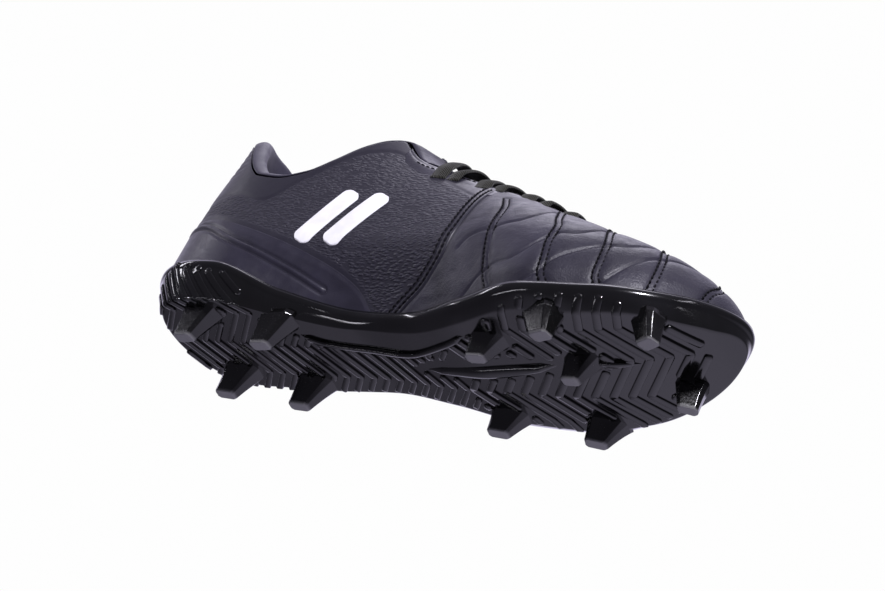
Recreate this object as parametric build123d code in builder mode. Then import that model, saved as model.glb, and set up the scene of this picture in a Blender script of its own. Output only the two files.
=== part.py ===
"""Left firm-ground football boot: moulded stud plate, leather vamp, synthetic quarters, laced throat.

Millimetres.  X runs from the heel to the toe, +Y is the outer side of a left foot, Z is up and the
longest studs stand on Z = 0.  The whole upper comes from one form, sliced into level outlines; every
layer of it is that form drawn in by a distance, so layers nest without touching through each other.
"""
import math
import os

from build123d import *

# ---------------------------------------------------------------- driving dimensions
LENGTH = 270.0            # heel to toe
WALL = 2.2                # rim wall of the plate around the upper
FLOOR = 4.0               # thickness of the plate's floor
RIB_DEPTH = 1.3           # how far the tread ribs stand out
RIB_PITCH = 7.6
RIB_WIDTH = 2.2

OVERLAY = 0.8             # eyestay, heel wrap and backstay stand this proud of the shell
SHELL = 2.2               # depth of the shell's inner face
BACKER = 3.2              # toe puff and heel counter end here
LINING = 4.0              # depth of the lining's inner face
FOAM = 5.6                # collar foam ends here
COLLAR_LINING = 6.4
PRINT = 0.35              # thickness of the printed mark
TONGUE = 4.2              # depth of the tongue's upper face
TONGUE_THICK = 3.2
TONGUE_HINGE_X = 112.0    # the tongue's free end folds forward here

BOARD = 1.5               # lasting board on the plate's floor
SOCKLINER = 3.0

FLEX_X = 224.0            # the forefoot bends about this line
FLEX_Z = 22.0
FLEX_GAP = 0.5
CREASE_ANGLE = 15.0       # half angle of the vamp that creases

# Half widths of the sole outline, before its ends are rounded: inner side and outer side
SOLE_INNER = [(0, 31), (16, 33.7), (43, 36), (75, 26.5), (107, 18), (134, 21.5), (164, 34.5),
              (196, 45.5), (220, 41.5), (242, 37.6), (259, 32), (270, 28)]
SOLE_OUTER = [(0, 29), (16, 32), (43, 35.2), (75, 35.2), (107, 34), (134, 38.4), (164, 47.5),
              (196, 50.3), (220, 43.9), (242, 36.2), (259, 30.2), (270, 26)]
# Half widths of the upper at its waist, 50 mm up
BODY_INNER = [(0, 27), (43, 33), (75, 31), (107, 30), (134, 33), (164, 40), (196, 45), (220, 41.5),
              (242, 36.5), (270, 28)]
BODY_OUTER = [(0, 27), (43, 33), (75, 33), (107, 34), (134, 38), (164, 44), (196, 46.5),
              (220, 41.5), (242, 35.5), (270, 26)]
# Height of the form's top line; behind the throat it only leans the walls in
RIDGE = [(0, 150), (60, 150), (90, 126), (104, 108), (120, 100), (136, 93.5), (165, 83.5),
         (185, 75), (206, 67), (225, 60.5), (243, 53.5), (258, 44.5), (266, 36), (269.5, 29)]
# Back of the heel, x at each height
HEEL_BACK = [(0, 8), (14, 5), (24, 2), (40, 0), (60, 1), (80, 5), (90, 8), (100, 9), (125, 9)]
# How far the outline is drawn in below the rim, at each height
BOWL = [(4, 15), (8, 9), (11, 5.6), (14, 3.4), (19, 1.2), (26, 0), (130, 0)]
# Plate profiles, z at each x
SOLE_BOTTOM = [(0, 14), (30, 13), (70, 12.5), (107, 13), (134, 11), (164, 9), (200, 9), (225, 11),
               (247, 14.5), (262, 19), (270, 24)]
RIM_TOP = [(0, 29), (16, 29.5), (43, 29), (75, 22.5), (107, 20), (134, 17.5), (164, 16), (196, 17),
           (220, 19.5), (242, 22.5), (259, 28), (270, 31.5)]
# Collar line seen from the side, heel tab to eyestay
COLLAR = [(-8, 112), (8, 112), (10.5, 108), (12.5, 98), (15.5, 88), (22, 82), (32, 79.5), (48, 79.5),
          (60, 83), (70, 90.5), (80, 101), (88, 107), (98, 109.5), (108, 108)]
# Side views of seams: quarter to vamp, foot of the collar padding, tops of heel wrap and counter
SEAM = [(130, 8), (147, 30), (151, 42), (150, 55), (147, 72), (143, 92), (137, 126)]
PADDING = [(-8, 66), (30, 61), (60, 64), (84, 75), (97, 90), (106, 126)]
HEEL_WRAP = [(-8, 60), (20, 57), (50, 50), (80, 41), (104, 31), (120, 12)]
COUNTER = [(-8, 58), (30, 55), (55, 44), (76, 12)]

SOLE_LEVELS = [5, 8, 11, 14, 19, 26, 40]
FORM_LEVELS = [11, 14, 19, 26, 34, 43, 52, 62, 72, 83, 95, 108, 122]
STATIONS = 15             # outline points down each side

# name: (tip x, tip y, tip z, tip length, tip width, lean of the base in x, turn in degrees)
STUDS = {
    "stud_heel_inner_rear": (33, -21, 0, 9, 6, 5, -8),
    "stud_heel_outer_rear": (30, 20, 0, 9, 6, 5, 8),
    "stud_heel_inner_front": (70, -18, 0, 9, 6, 5, -6),
    "stud_heel_outer_front": (65, 25.5, 0, 9, 6, 5, 6),
    "stud_arch_inner": (171, -17, 0, 8, 6, 4, 0),
    "stud_arch_outer": (157, 35.5, 0, 9, 6, 4, 10),
    "stud_ball_inner": (207, -34, 0, 9, 6, -3, -20),
    "stud_ball_centre": (207, -5, 0, 7, 5.5, 3, 0),
    "stud_ball_outer": (200, 38, 0, 9, 6, 3, 15),
    "stud_toe_inner": (247, -27, 3.5, 9, 6, -4, -30),
    "stud_toe_outer": (247, 15, 3.5, 8, 5.5, -2, 20),
}

LACE_ROWS = [117, 128, 139, 150, 161, 172, 182]
LACE_WIDTH = 6.0
LACE_THICK = 1.5


# ---------------------------------------------------------------- the form
def at(table, x):
    """Smooth value of a table of (x, value) rows, with no overshoot between rows."""
    if x <= table[0][0]:
        return table[0][1]
    if x >= table[-1][0]:
        return table[-1][1]
    gaps = [(b[1] - a[1]) / (b[0] - a[0]) for a, b in zip(table, table[1:])]
    slopes = [gaps[0]]
    for left, right in zip(gaps, gaps[1:]):
        slopes.append(2 * left * right / (left + right) if left * right > 0 else 0.0)
    slopes.append(gaps[-1])
    row = max(i for i in range(len(table) - 1) if table[i][0] <= x)
    step = table[row + 1][0] - table[row][0]
    t = (x - table[row][0]) / step
    return (
        (1 + 2 * t) * (1 - t) ** 2 * table[row][1]
        + t * (1 - t) ** 2 * step * slopes[row]
        + t * t * (3 - 2 * t) * table[row + 1][1]
        - t * t * (1 - t) * step * slopes[row + 1]
    )


def rounded_ends(x, back, front):
    """1 along the middle of the outline, falling to 0 at the heel and at the toe."""
    heel = min(1.0, max(0.0, (36 - x) / (36 - back)))
    toe = min(1.0, max(0.0, (x - 222) / (front - 222)))
    return (1 - heel**2.3) ** (1 / 2.3) * (1 - toe**2.1) ** 0.5


def ridge_end(z):
    """The x where the form's top line comes down to a height."""
    low, high = 60.0, LENGTH - 0.5
    if at(RIDGE, high) >= z:
        return high
    for _ in range(40):
        middle = (low + high) / 2
        if at(RIDGE, middle) > z:
            low = middle
        else:
            high = middle
    return low


def stations(back, front):
    """Outline stations, close together at both ends."""
    spread = front - back
    turns = [math.pi * i / (STATIONS + 1) for i in range(1, STATIONS + 1)]
    return [back + spread * (1 - math.cos(turn)) / 2 for turn in turns]


def ring(back, front, outer, inner):
    """Closed list of points: heel, outer side, toe, inner side."""
    xs = stations(back, front)
    points = [(back, 0)]
    points += [(x, outer(x)) for x in xs]
    points += [(front, 0)]
    points += [(x, -inner(x)) for x in reversed(xs)]
    return points


def sole_ring(z, inset=0.0):
    """Outline of the plate at a height, drawn in by an inset."""
    pull = at(BOWL, z) + inset
    back = pull + at(HEEL_BACK, min(z, 40)) - at(HEEL_BACK, 40)
    front = LENGTH - pull

    def half(table):
        return lambda x: (at(table, x) - pull) * rounded_ends(x, back, front)

    return ring(back, front, half(SOLE_OUTER), half(SOLE_INNER))


def upper_ring(z, inset):
    """Outline of the upper at a height, drawn in by an inset."""
    pull = at(BOWL, z) + inset
    back = pull + at(HEEL_BACK, z)
    if z <= 30:
        back += WALL * (1 - at([(14, 0), (30, 1)], z))
    front = min(LENGTH - WALL - pull, ridge_end(z + inset))

    def half(sole, body):
        def width(x):
            rise = min(1.0, max(0.0, (z - 18) / 32))
            rise = rise * rise * (3 - 2 * rise)
            wide = (at(sole, x) - WALL) * (1 - rise) + at(body, x) * rise - pull
            top = at(RIDGE, x) - inset
            climb = min(1.0, max(0.0, (z - 18) / (top - 18)))
            return max(0.3, wide) * rounded_ends(x, back, LENGTH - inset) * (1 - climb**2.4) ** 0.5

        return width

    return ring(back, front, half(SOLE_OUTER, BODY_OUTER), half(SOLE_INNER, BODY_INNER))


def loft_rings(levels, outline):
    """Solid through one closed outline per level."""
    with BuildPart() as solid:
        for z in levels:
            with BuildSketch(Plane.XY.offset(z)):
                with BuildLine():
                    Spline(*outline(z), periodic=True)
                make_face()
        loft()
    return solid.part


def side_prism(curve, *corners, near=-80.0, far=80.0):
    """Prism across the boot: a smooth side-view curve, closed through some corners."""
    with BuildPart() as prism:
        with BuildSketch(Plane.XZ.offset(-far)):
            with BuildLine():
                Spline(*curve)
                Polyline(curve[-1], *corners, curve[0])
            make_face()
        extrude(amount=far - near)
    return prism.part


def above(table, lift=0.0):
    """Everything above a side-view profile."""
    curve = [(x, z + lift) for x, z in table]
    curve[0] = (-20, curve[0][1])
    curve[-1] = (LENGTH + 20, curve[-1][1])
    return side_prism(curve, (LENGTH + 20, 140), (-20, 140))


def slot_half(x):
    """Half width of the throat opening."""
    return at([(80, 15), (130, 12), (184, 7.5)], x)


def plan_strip(start, stop, grow=0.0, centre=-1.0):
    """Upright prism over the throat, rounded at its front end, wider than the opening by grow."""
    tip = slot_half(stop) + grow
    side = slot_half(start) + grow
    with BuildPart() as prism:
        with BuildSketch(Plane.XY.offset(50)):
            with BuildLine():
                Polyline(
                    (stop, centre + tip), (start, centre + side), (start, centre - side),
                    (stop, centre - tip),
                )
                ThreePointArc((stop, centre - tip), (stop + tip, centre), (stop, centre + tip))
            make_face()
        extrude(amount=90)
    return prism.part


# ---------------------------------------------------------------- shared solids
DEPTHS = [-LACE_THICK, 0, OVERLAY - PRINT, OVERLAY, SHELL, BACKER, LINING, TONGUE, FOAM,
          COLLAR_LINING, TONGUE + TONGUE_THICK]
FORM = {depth: loft_rings(FORM_LEVELS, lambda z, d=depth: upper_ring(z, d)) for depth in DEPTHS}

wedge = math.tan(math.radians(CREASE_ANGLE))
reach = (140 - FLEX_Z) * wedge
half_gap = FLEX_GAP / 2
behind_flex = side_prism(
    [(FLEX_X - half_gap - reach, 140), (FLEX_X - half_gap, FLEX_Z)],
    (FLEX_X - half_gap, 0), (-20, 0), (-20, 140),
)
ahead_of_flex = side_prism(
    [(FLEX_X + half_gap + reach, 140), (FLEX_X + half_gap, FLEX_Z)],
    (FLEX_X + half_gap, 0), (LENGTH + 20, 0), (LENGTH + 20, 140),
)
crease_window = side_prism(
    [(FLEX_X - half_gap - reach, 140), (FLEX_X - half_gap - 4 * wedge, FLEX_Z + 4)],
    (FLEX_X + half_gap + 4 * wedge - 0.4, FLEX_Z + 4), (FLEX_X + half_gap + reach - 0.4, 140),
)
floor_up = above(SOLE_BOTTOM, FLOOR)
board_up = above(SOLE_BOTTOM, FLOOR + BOARD)
sockliner_up = above(SOLE_BOTTOM, FLOOR + BOARD + SOCKLINER)
mouth = side_prism(COLLAR, (108, 140), (-8, 140))
throat = plan_strip(86, 184)
quarter_zone = side_prism(SEAM, (-20, 126), (-20, 8))
padding_zone = side_prism(PADDING, (-8, 126))
wrap_zone = side_prism(HEEL_WRAP, (-8, 12))
counter_zone = side_prism(COUNTER, (-8, 12))
backstay_zone = side_prism([(24, 8), (24, 126)], (-8, 126), (-8, 8), near=-9, far=9)
inner_side = side_prism([(-20, 0), (300, 0)], (300, 140), (-20, 140), near=-80, far=-1)
outer_side = side_prism([(-20, 0), (300, 0)], (300, 140), (-20, 140), near=-1, far=80)

with BuildPart() as eyelets:
    with BuildSketch(Plane.XY.offset(55)):
        for row in LACE_ROWS:
            with Locations((row, slot_half(row) + 4), (row, -slot_half(row) - 6)):
                Circle(1.6)
    extrude(amount=80)

# ---------------------------------------------------------------- sole
with BuildPart() as plate_blank:
    add(loft_rings(SOLE_LEVELS, sole_ring))
    add(above(SOLE_BOTTOM), mode=Mode.INTERSECT)
    add(above(RIM_TOP), mode=Mode.SUBTRACT)

blanks = {}
for name, (tip_x, tip_y, tip_z, long, wide, lean, turn) in STUDS.items():
    with BuildPart() as blank:
        with BuildSketch(Plane.XY.offset(tip_z)):
            with Locations(Location((tip_x, tip_y), turn)):
                RectangleRounded(long, wide, 1.8)
        with BuildSketch(Plane.XY.offset(at(SOLE_BOTTOM, tip_x + lean) + 2)):
            with Locations(Location((tip_x + lean, tip_y), turn)):
                RectangleRounded(long + 10, wide + 7, 3)
        loft()
        fillet(blank.faces().sort_by(Axis.Z)[0].edges(), 0.7)
    blanks[name] = blank.part

studs = {}
for name, blank_part in blanks.items():
    with BuildPart() as stud:
        add(blank_part)
        add(plate_blank.part, mode=Mode.SUBTRACT)
    studs[name] = stud.part

with BuildPart() as spine_blank:
    with BuildSketch():
        with BuildLine():
            ThreePointArc((130, 8), (165, 6), (199, -3))
            ThreePointArc((199, -3), (164, -3), (130, 8))
        make_face()
    extrude(amount=15)
    crest = [(124, 10.5), (145, 8.6), (165, 6.4), (185, 6.6), (203, 8)]
    add(side_prism(crest, (203, 40), (124, 40)), mode=Mode.INTERSECT)

with BuildPart() as arch_spine:
    add(spine_blank.part)
    add(above(SOLE_BOTTOM), mode=Mode.SUBTRACT)

with BuildPart() as tread:
    with BuildSketch():
        for row in range(36):
            x = row * RIB_PITCH
            zigzag = [(x - 10, -56), (x + 2, -38), (x + 12, -20), (x, 0), (x + 12, 20), (x, 40),
                      (x - 8, 56)]
            shifted = [(px + RIB_WIDTH, py) for px, py in reversed(zigzag)]
            with BuildLine():
                Polyline(*zigzag, *shifted, close=True)
            make_face()
        with BuildLine():
            Spline(
                (12, 0), (17, 18), (36, 25), (75, 26), (110, 26), (148, 31), (190, 39), (222, 34),
                (243, 22), (254, 4), (248, -18), (225, -31), (197, -33), (165, -20), (130, -1),
                (90, -4), (60, -19), (34, -25), (17, -17), periodic=True,
            )
        make_face(mode=Mode.INTERSECT)
        for tip_x, tip_y, tip_z, long, wide, lean, turn in STUDS.values():
            with Locations(Location((tip_x + lean, tip_y), turn)):
                RectangleRounded(long + 11, wide + 8, 3.5, mode=Mode.SUBTRACT)
        with Locations(Location((165, 2.5), -9)):
            Ellipse(37, 7, mode=Mode.SUBTRACT)
    extrude(amount=20)
    add(above(SOLE_BOTTOM, -RIB_DEPTH), mode=Mode.INTERSECT)
    add(above(SOLE_BOTTOM, 0.5), mode=Mode.SUBTRACT)

with BuildPart() as plate:
    add(plate_blank.part)
    add(FORM[0] & floor_up, mode=Mode.SUBTRACT)
    add(tread.part)

with BuildPart() as plate_rear:
    add(plate.part)
    add(behind_flex, mode=Mode.INTERSECT)

with BuildPart() as plate_toe:
    add(plate.part)
    add(ahead_of_flex, mode=Mode.INTERSECT)

# ---------------------------------------------------------------- inside the boot
with BuildPart() as shank:
    with BuildSketch():
        with Locations((112, 8)):
            RectangleRounded(78, 16, 6)
    extrude(amount=40)
    add(floor_up, mode=Mode.INTERSECT)
    add(board_up, mode=Mode.SUBTRACT)

with BuildPart() as board_rear:
    add(FORM[LINING])
    add(floor_up, mode=Mode.INTERSECT)
    add(board_up, mode=Mode.SUBTRACT)
    add(behind_flex, mode=Mode.INTERSECT)
    add(shank.part, mode=Mode.SUBTRACT)

with BuildPart() as board_toe:
    add(FORM[LINING])
    add(floor_up, mode=Mode.INTERSECT)
    add(board_up, mode=Mode.SUBTRACT)
    add(ahead_of_flex, mode=Mode.INTERSECT)

with BuildPart() as sockliner_rear:
    add(FORM[LINING])
    add(board_up, mode=Mode.INTERSECT)
    add(sockliner_up, mode=Mode.SUBTRACT)
    add(behind_flex, mode=Mode.INTERSECT)

with BuildPart() as sockliner_toe:
    add(FORM[LINING])
    add(board_up, mode=Mode.INTERSECT)
    add(sockliner_up, mode=Mode.SUBTRACT)
    add(ahead_of_flex, mode=Mode.INTERSECT)

# ---------------------------------------------------------------- shell of the upper
with BuildPart() as vamp:
    add(FORM[OVERLAY])
    add(floor_up, mode=Mode.INTERSECT)
    add(behind_flex, mode=Mode.INTERSECT)
    add(quarter_zone, mode=Mode.SUBTRACT)
    add(FORM[SHELL], mode=Mode.SUBTRACT)
    add(throat, mode=Mode.SUBTRACT)
    add(eyelets.part, mode=Mode.SUBTRACT)

with BuildPart() as vamp_crease:
    add(FORM[OVERLAY])
    add(crease_window, mode=Mode.INTERSECT)
    add(FORM[SHELL], mode=Mode.SUBTRACT)

with BuildPart() as vamp_toe:
    add(FORM[OVERLAY])
    add(floor_up, mode=Mode.INTERSECT)
    add(ahead_of_flex, mode=Mode.INTERSECT)
    add(FORM[SHELL], mode=Mode.SUBTRACT)

with BuildPart() as quarters:
    add(FORM[OVERLAY])
    add(floor_up, mode=Mode.INTERSECT)
    add(quarter_zone, mode=Mode.INTERSECT)
    add(FORM[SHELL], mode=Mode.SUBTRACT)
    add(mouth, mode=Mode.SUBTRACT)
    add(throat, mode=Mode.SUBTRACT)
    add(eyelets.part, mode=Mode.SUBTRACT)

with BuildPart() as quarter_inner:
    add(quarters.part)
    add(inner_side, mode=Mode.INTERSECT)

with BuildPart() as quarter_outer:
    add(quarters.part)
    add(outer_side, mode=Mode.INTERSECT)

# ---------------------------------------------------------------- layers behind the shell
with BuildPart() as toe_puff:
    add(FORM[SHELL])
    add(sockliner_up, mode=Mode.INTERSECT)
    add(side_prism([(252, 0), (246, 40), (240, 80)], (300, 80), (300, 0)), mode=Mode.INTERSECT)
    add(ahead_of_flex, mode=Mode.INTERSECT)
    add(FORM[BACKER], mode=Mode.SUBTRACT)

with BuildPart() as vamp_foam:
    add(FORM[SHELL])
    add(sockliner_up, mode=Mode.INTERSECT)
    add(behind_flex, mode=Mode.INTERSECT)
    add(quarter_zone, mode=Mode.SUBTRACT)
    add(FORM[BACKER], mode=Mode.SUBTRACT)
    add(throat, mode=Mode.SUBTRACT)

with BuildPart() as heel_counter:
    add(FORM[SHELL])
    add(floor_up, mode=Mode.INTERSECT)
    add(counter_zone, mode=Mode.INTERSECT)
    add(FORM[BACKER], mode=Mode.SUBTRACT)

with BuildPart() as collar_foam:
    add(FORM[SHELL])
    add(padding_zone, mode=Mode.INTERSECT)
    add(FORM[FOAM], mode=Mode.SUBTRACT)
    add(mouth, mode=Mode.SUBTRACT)
    add(throat, mode=Mode.SUBTRACT)

with BuildPart() as collar_lining:
    add(FORM[FOAM])
    add(padding_zone, mode=Mode.INTERSECT)
    add(FORM[COLLAR_LINING], mode=Mode.SUBTRACT)
    add(mouth, mode=Mode.SUBTRACT)
    add(throat, mode=Mode.SUBTRACT)

with BuildPart() as lining_rear:
    add(FORM[BACKER])
    add(floor_up, mode=Mode.INTERSECT)
    add(quarter_zone, mode=Mode.INTERSECT)
    add(FORM[LINING], mode=Mode.SUBTRACT)
    add(padding_zone, mode=Mode.SUBTRACT)
    add(mouth, mode=Mode.SUBTRACT)
    add(throat, mode=Mode.SUBTRACT)

with BuildPart() as lining_vamp:
    add(FORM[BACKER])
    add(floor_up, mode=Mode.INTERSECT)
    add(behind_flex, mode=Mode.INTERSECT)
    add(quarter_zone, mode=Mode.SUBTRACT)
    add(FORM[LINING], mode=Mode.SUBTRACT)
    add(throat, mode=Mode.SUBTRACT)

with BuildPart() as lining_toe:
    add(FORM[BACKER])
    add(floor_up, mode=Mode.INTERSECT)
    add(ahead_of_flex, mode=Mode.INTERSECT)
    add(FORM[LINING], mode=Mode.SUBTRACT)

# ---------------------------------------------------------------- overlays on the shell
with BuildPart() as eyestays:
    add(FORM[0])
    add(plan_strip(103, 184, 10), mode=Mode.INTERSECT)
    add(FORM[OVERLAY], mode=Mode.SUBTRACT)
    add(mouth, mode=Mode.SUBTRACT)
    add(throat, mode=Mode.SUBTRACT)
    add(eyelets.part, mode=Mode.SUBTRACT)

with BuildPart() as eyestay_inner:
    add(eyestays.part)
    add(inner_side, mode=Mode.INTERSECT)

with BuildPart() as eyestay_outer:
    add(eyestays.part)
    add(outer_side, mode=Mode.INTERSECT)

with BuildPart() as heel_wrap:
    add(FORM[0])
    add(wrap_zone, mode=Mode.INTERSECT)
    add(floor_up, mode=Mode.INTERSECT)
    add(FORM[OVERLAY], mode=Mode.SUBTRACT)
    add(backstay_zone, mode=Mode.SUBTRACT)

with BuildPart() as heel_wrap_inner:
    add(heel_wrap.part)
    add(inner_side, mode=Mode.INTERSECT)

with BuildPart() as heel_wrap_outer:
    add(heel_wrap.part)
    add(outer_side, mode=Mode.INTERSECT)

with BuildPart() as backstay:
    add(FORM[0])
    add(backstay_zone, mode=Mode.INTERSECT)
    add(floor_up, mode=Mode.INTERSECT)
    add(FORM[OVERLAY], mode=Mode.SUBTRACT)
    add(mouth, mode=Mode.SUBTRACT)

marks = {}
for name, near, far in (("mark_inner", -80, -5), ("mark_outer", 5, 80)):
    with BuildPart() as mark:
        with BuildSketch(Plane.XZ.offset(-far)):
            with Locations(Location((82, 59), 62), Location((96, 59), 62)):
                RectangleRounded(32, 9, 3)
        extrude(amount=far - near)
        add(FORM[OVERLAY - PRINT], mode=Mode.INTERSECT)
        add(FORM[OVERLAY], mode=Mode.SUBTRACT)
    marks[name] = mark.part

# ---------------------------------------------------------------- tongue and laces
with BuildPart() as tongue:
    add(FORM[TONGUE])
    add(plan_strip(TONGUE_HINGE_X + 0.2, 188, 6), mode=Mode.INTERSECT)
    add(FORM[TONGUE + TONGUE_THICK], mode=Mode.SUBTRACT)

with BuildPart() as tongue_flap:
    add(FORM[TONGUE])
    with BuildSketch(Plane.XY.offset(50)):
        with Locations((TONGUE_HINGE_X - 7.7, -1)):
            RectangleRounded(15, 20, 4)
    extrude(amount=90, mode=Mode.INTERSECT)
    add(FORM[TONGUE + TONGUE_THICK], mode=Mode.SUBTRACT)

laces = {}
for number, row in enumerate(LACE_ROWS, start=1):
    span = 2 * slot_half(row) + 16
    tilt = 8 if number % 2 else -8
    with BuildPart() as lace:
        with BuildSketch(Plane.XY.offset(50)):
            with Locations(Location((row, -2), tilt)):
                RectangleRounded(LACE_WIDTH, span, 2)
        extrude(amount=90)
        add(FORM[-LACE_THICK], mode=Mode.INTERSECT)
        add(FORM[0], mode=Mode.SUBTRACT)
    laces[f"lace_{number}"] = lace.part

# ---------------------------------------------------------------- files
pieces = {
    "plate_rear": plate_rear.part,
    "plate_toe": plate_toe.part,
    "arch_spine": arch_spine.part,
    "shank": shank.part,
    "board_rear": board_rear.part,
    "board_toe": board_toe.part,
    "sockliner_rear": sockliner_rear.part,
    "sockliner_toe": sockliner_toe.part,
    "vamp": vamp.part,
    "vamp_crease": vamp_crease.part,
    "vamp_toe": vamp_toe.part,
    "quarter_inner": quarter_inner.part,
    "quarter_outer": quarter_outer.part,
    "toe_puff": toe_puff.part,
    "vamp_foam": vamp_foam.part,
    "heel_counter": heel_counter.part,
    "collar_foam": collar_foam.part,
    "collar_lining": collar_lining.part,
    "lining_rear": lining_rear.part,
    "lining_vamp": lining_vamp.part,
    "lining_toe": lining_toe.part,
    "eyestay_inner": eyestay_inner.part,
    "eyestay_outer": eyestay_outer.part,
    "heel_wrap_inner": heel_wrap_inner.part,
    "heel_wrap_outer": heel_wrap_outer.part,
    "backstay": backstay.part,
    "tongue": tongue.part,
    "tongue_flap": tongue_flap.part,
    **studs,
    **marks,
    **laces,
}
# The row's origin is on the ground, under the middle of the whole boot
boxes = [piece.bounding_box() for piece in pieces.values()]
middle_x = (min(box.min.X for box in boxes) + max(box.max.X for box in boxes)) / 2
middle_y = (min(box.min.Y for box in boxes) + max(box.max.Y for box in boxes)) / 2
print("middle", round(middle_x, 3), round(middle_y, 3))

os.makedirs("parts", exist_ok=True)
for name, piece in pieces.items():
    placed = piece.moved(Location((-middle_x, -middle_y, 0)))
    placed.label = name
    export_step(placed, f"parts/{name}.step", write_pcurves=False)
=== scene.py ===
"""Looks for a left football boot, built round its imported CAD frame.

The shapes are worked out in boot millimetres, the units of the CAD source: X from heel to toe, +Y the
outer side, Z up from the stud tips.  `metres` puts them in the row frame.  The upper and the sole are
each one form, sampled by rays from a line inside it; every panel is a patch of that form.
"""
import math

import bmesh
import bpy
import numpy as np
from mathutils import Matrix, Vector


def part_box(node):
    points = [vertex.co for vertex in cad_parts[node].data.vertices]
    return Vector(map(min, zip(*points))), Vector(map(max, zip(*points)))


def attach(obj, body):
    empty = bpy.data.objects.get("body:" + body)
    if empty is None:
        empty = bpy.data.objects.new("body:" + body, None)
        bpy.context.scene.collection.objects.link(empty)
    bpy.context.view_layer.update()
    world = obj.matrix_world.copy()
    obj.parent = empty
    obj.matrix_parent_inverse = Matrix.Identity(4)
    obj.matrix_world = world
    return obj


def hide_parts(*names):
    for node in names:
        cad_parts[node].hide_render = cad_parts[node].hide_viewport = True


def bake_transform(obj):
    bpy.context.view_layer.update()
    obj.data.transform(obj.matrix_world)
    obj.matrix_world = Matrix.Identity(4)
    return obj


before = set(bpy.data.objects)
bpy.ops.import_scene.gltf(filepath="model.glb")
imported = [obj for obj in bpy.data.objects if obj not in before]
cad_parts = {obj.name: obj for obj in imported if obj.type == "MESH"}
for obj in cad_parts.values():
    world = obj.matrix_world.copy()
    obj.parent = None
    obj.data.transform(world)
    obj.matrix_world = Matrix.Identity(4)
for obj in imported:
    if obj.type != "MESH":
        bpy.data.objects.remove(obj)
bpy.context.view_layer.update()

# ---------------------------------------------------------------- driving dimensions
# Those that part.py has too are the same, apart from COLLAR, SEAM, RIDGE and the tread, which follow the
# real boot closer.
LENGTH = 270.0
WALL = 2.2
OVERLAY = 0.8             # eyestay, heel wrap and backstay stand this proud of the shell
SHELL = 2.2
LINING = 4.0
COLLAR_LINING = 6.4
TONGUE = 4.2
TONGUE_THICK = 3.2
TONGUE_SPAN = (112.2, 193.0)        # x, in front of the fold
FLAP_SPAN = (96.9, 111.8)           # and behind it
TONGUE_CHANNEL = 5.5      # sewn channels, this far off the middle
SLOT_CENTRE = -1.0
SLOT_BACK = 86.0
SLOT_FRONT = 184.0
FLOOR_RISE = 8.5          # plate floor, board and sockliner together
SOCKLINER = 2.6
RAY_Z = 20.0              # height of the line that the rays start from
RAY_BACK = 42.0           # x where that line starts
RAY_RUN = 190.0           # and its length
RAY_REACH = 165.0         # longer than any ray inside a form
STEP = 0.65               # spacing of the fine grids
MOUTH_FRONT = 108.0       # the collar's mouth ends here
PADDING_FRONT = 104.0     # and its padding here
WRAP_FRONT = 117.0
RIM_TUCK = 3.0            # the upper goes this far down inside the plate's wall

INNER, OUTER = -1, 1
SOLE_HALF = {
    INNER: [(0, 31), (16, 33.7), (43, 36), (75, 26.5), (107, 18), (134, 21.5), (164, 34.5),
            (196, 45.5), (220, 41.5), (242, 37.6), (259, 32), (270, 28)],
    OUTER: [(0, 29), (16, 32), (43, 35.2), (75, 35.2), (107, 34), (134, 38.4), (164, 47.5),
            (196, 50.3), (220, 43.9), (242, 36.2), (259, 30.2), (270, 26)],
}
BODY_HALF = {
    INNER: [(0, 27), (43, 33), (75, 31), (107, 30), (134, 33), (164, 40), (196, 45), (220, 41.5),
            (242, 36.5), (270, 28)],
    OUTER: [(0, 27), (43, 33), (75, 33), (107, 34), (134, 38), (164, 44), (196, 46.5), (220, 41.5),
            (242, 35.5), (270, 26)],
}
RIDGE = [(0, 150), (60, 150), (90, 127), (104, 111), (120, 102.5), (136, 94.8), (165, 83.5),
         (185, 75), (206, 67), (225, 60.5), (243, 53.5), (258, 44.5), (266, 36), (269.5, 29)]
HEEL_BACK = [(0, 8), (14, 5), (24, 2), (40, 0), (60, 1), (80, 5), (90, 8), (100, 9), (125, 9)]
BOWL = [(4, 15), (8, 9), (11, 5.6), (14, 3.4), (19, 1.2), (26, 0), (130, 0)]
SOLE_BOTTOM = [(0, 14), (30, 13), (70, 12.5), (107, 13), (134, 11), (164, 9), (200, 9), (225, 11),
               (247, 14.5), (262, 19), (270, 24)]
RIM_TOP = [(0, 29), (16, 29.5), (43, 29), (75, 22.5), (107, 20), (134, 17.5), (164, 16), (196, 17),
           (220, 19.5), (242, 22.5), (259, 28), (270, 31.5)]
COLLAR = [(-8, 113), (9, 113), (13, 110.5), (18, 105), (23, 97.5), (28, 90), (32, 85), (37, 81), (48, 79.5),
          (60, 83), (70, 91), (80, 101.5), (88, 108), (98, 111.5), (108, 110)]
PADDING = [(-8, 66), (30, 61), (60, 64), (84, 75), (97, 90), (106, 126)]
HEEL_WRAP = [(-8, 60), (20, 57), (50, 50), (80, 41), (104, 31), (120, 12)]
SLOT_HALF = [(80, 15), (130, 12), (184, 7.5)]
EYESTAY_BACK = 98.0
EYESTAY_WIDTH = 10.0
BACKSTAY_SHARE = 0.042    # half the backstay's width, as a share of the outline
# Seam between quarter and vamp: x at each height
SEAM = [(8, 116), (22, 130), (32, 142), (42, 149), (55, 151), (72, 150), (92, 147), (126, 142)]
SEAM_STITCHES = (2.2, 5.0)          # two rows of stitches, this far behind the seam
OUTLINE_RUN = 260.0       # about the outline's length on one side, which turns those into shares

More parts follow.
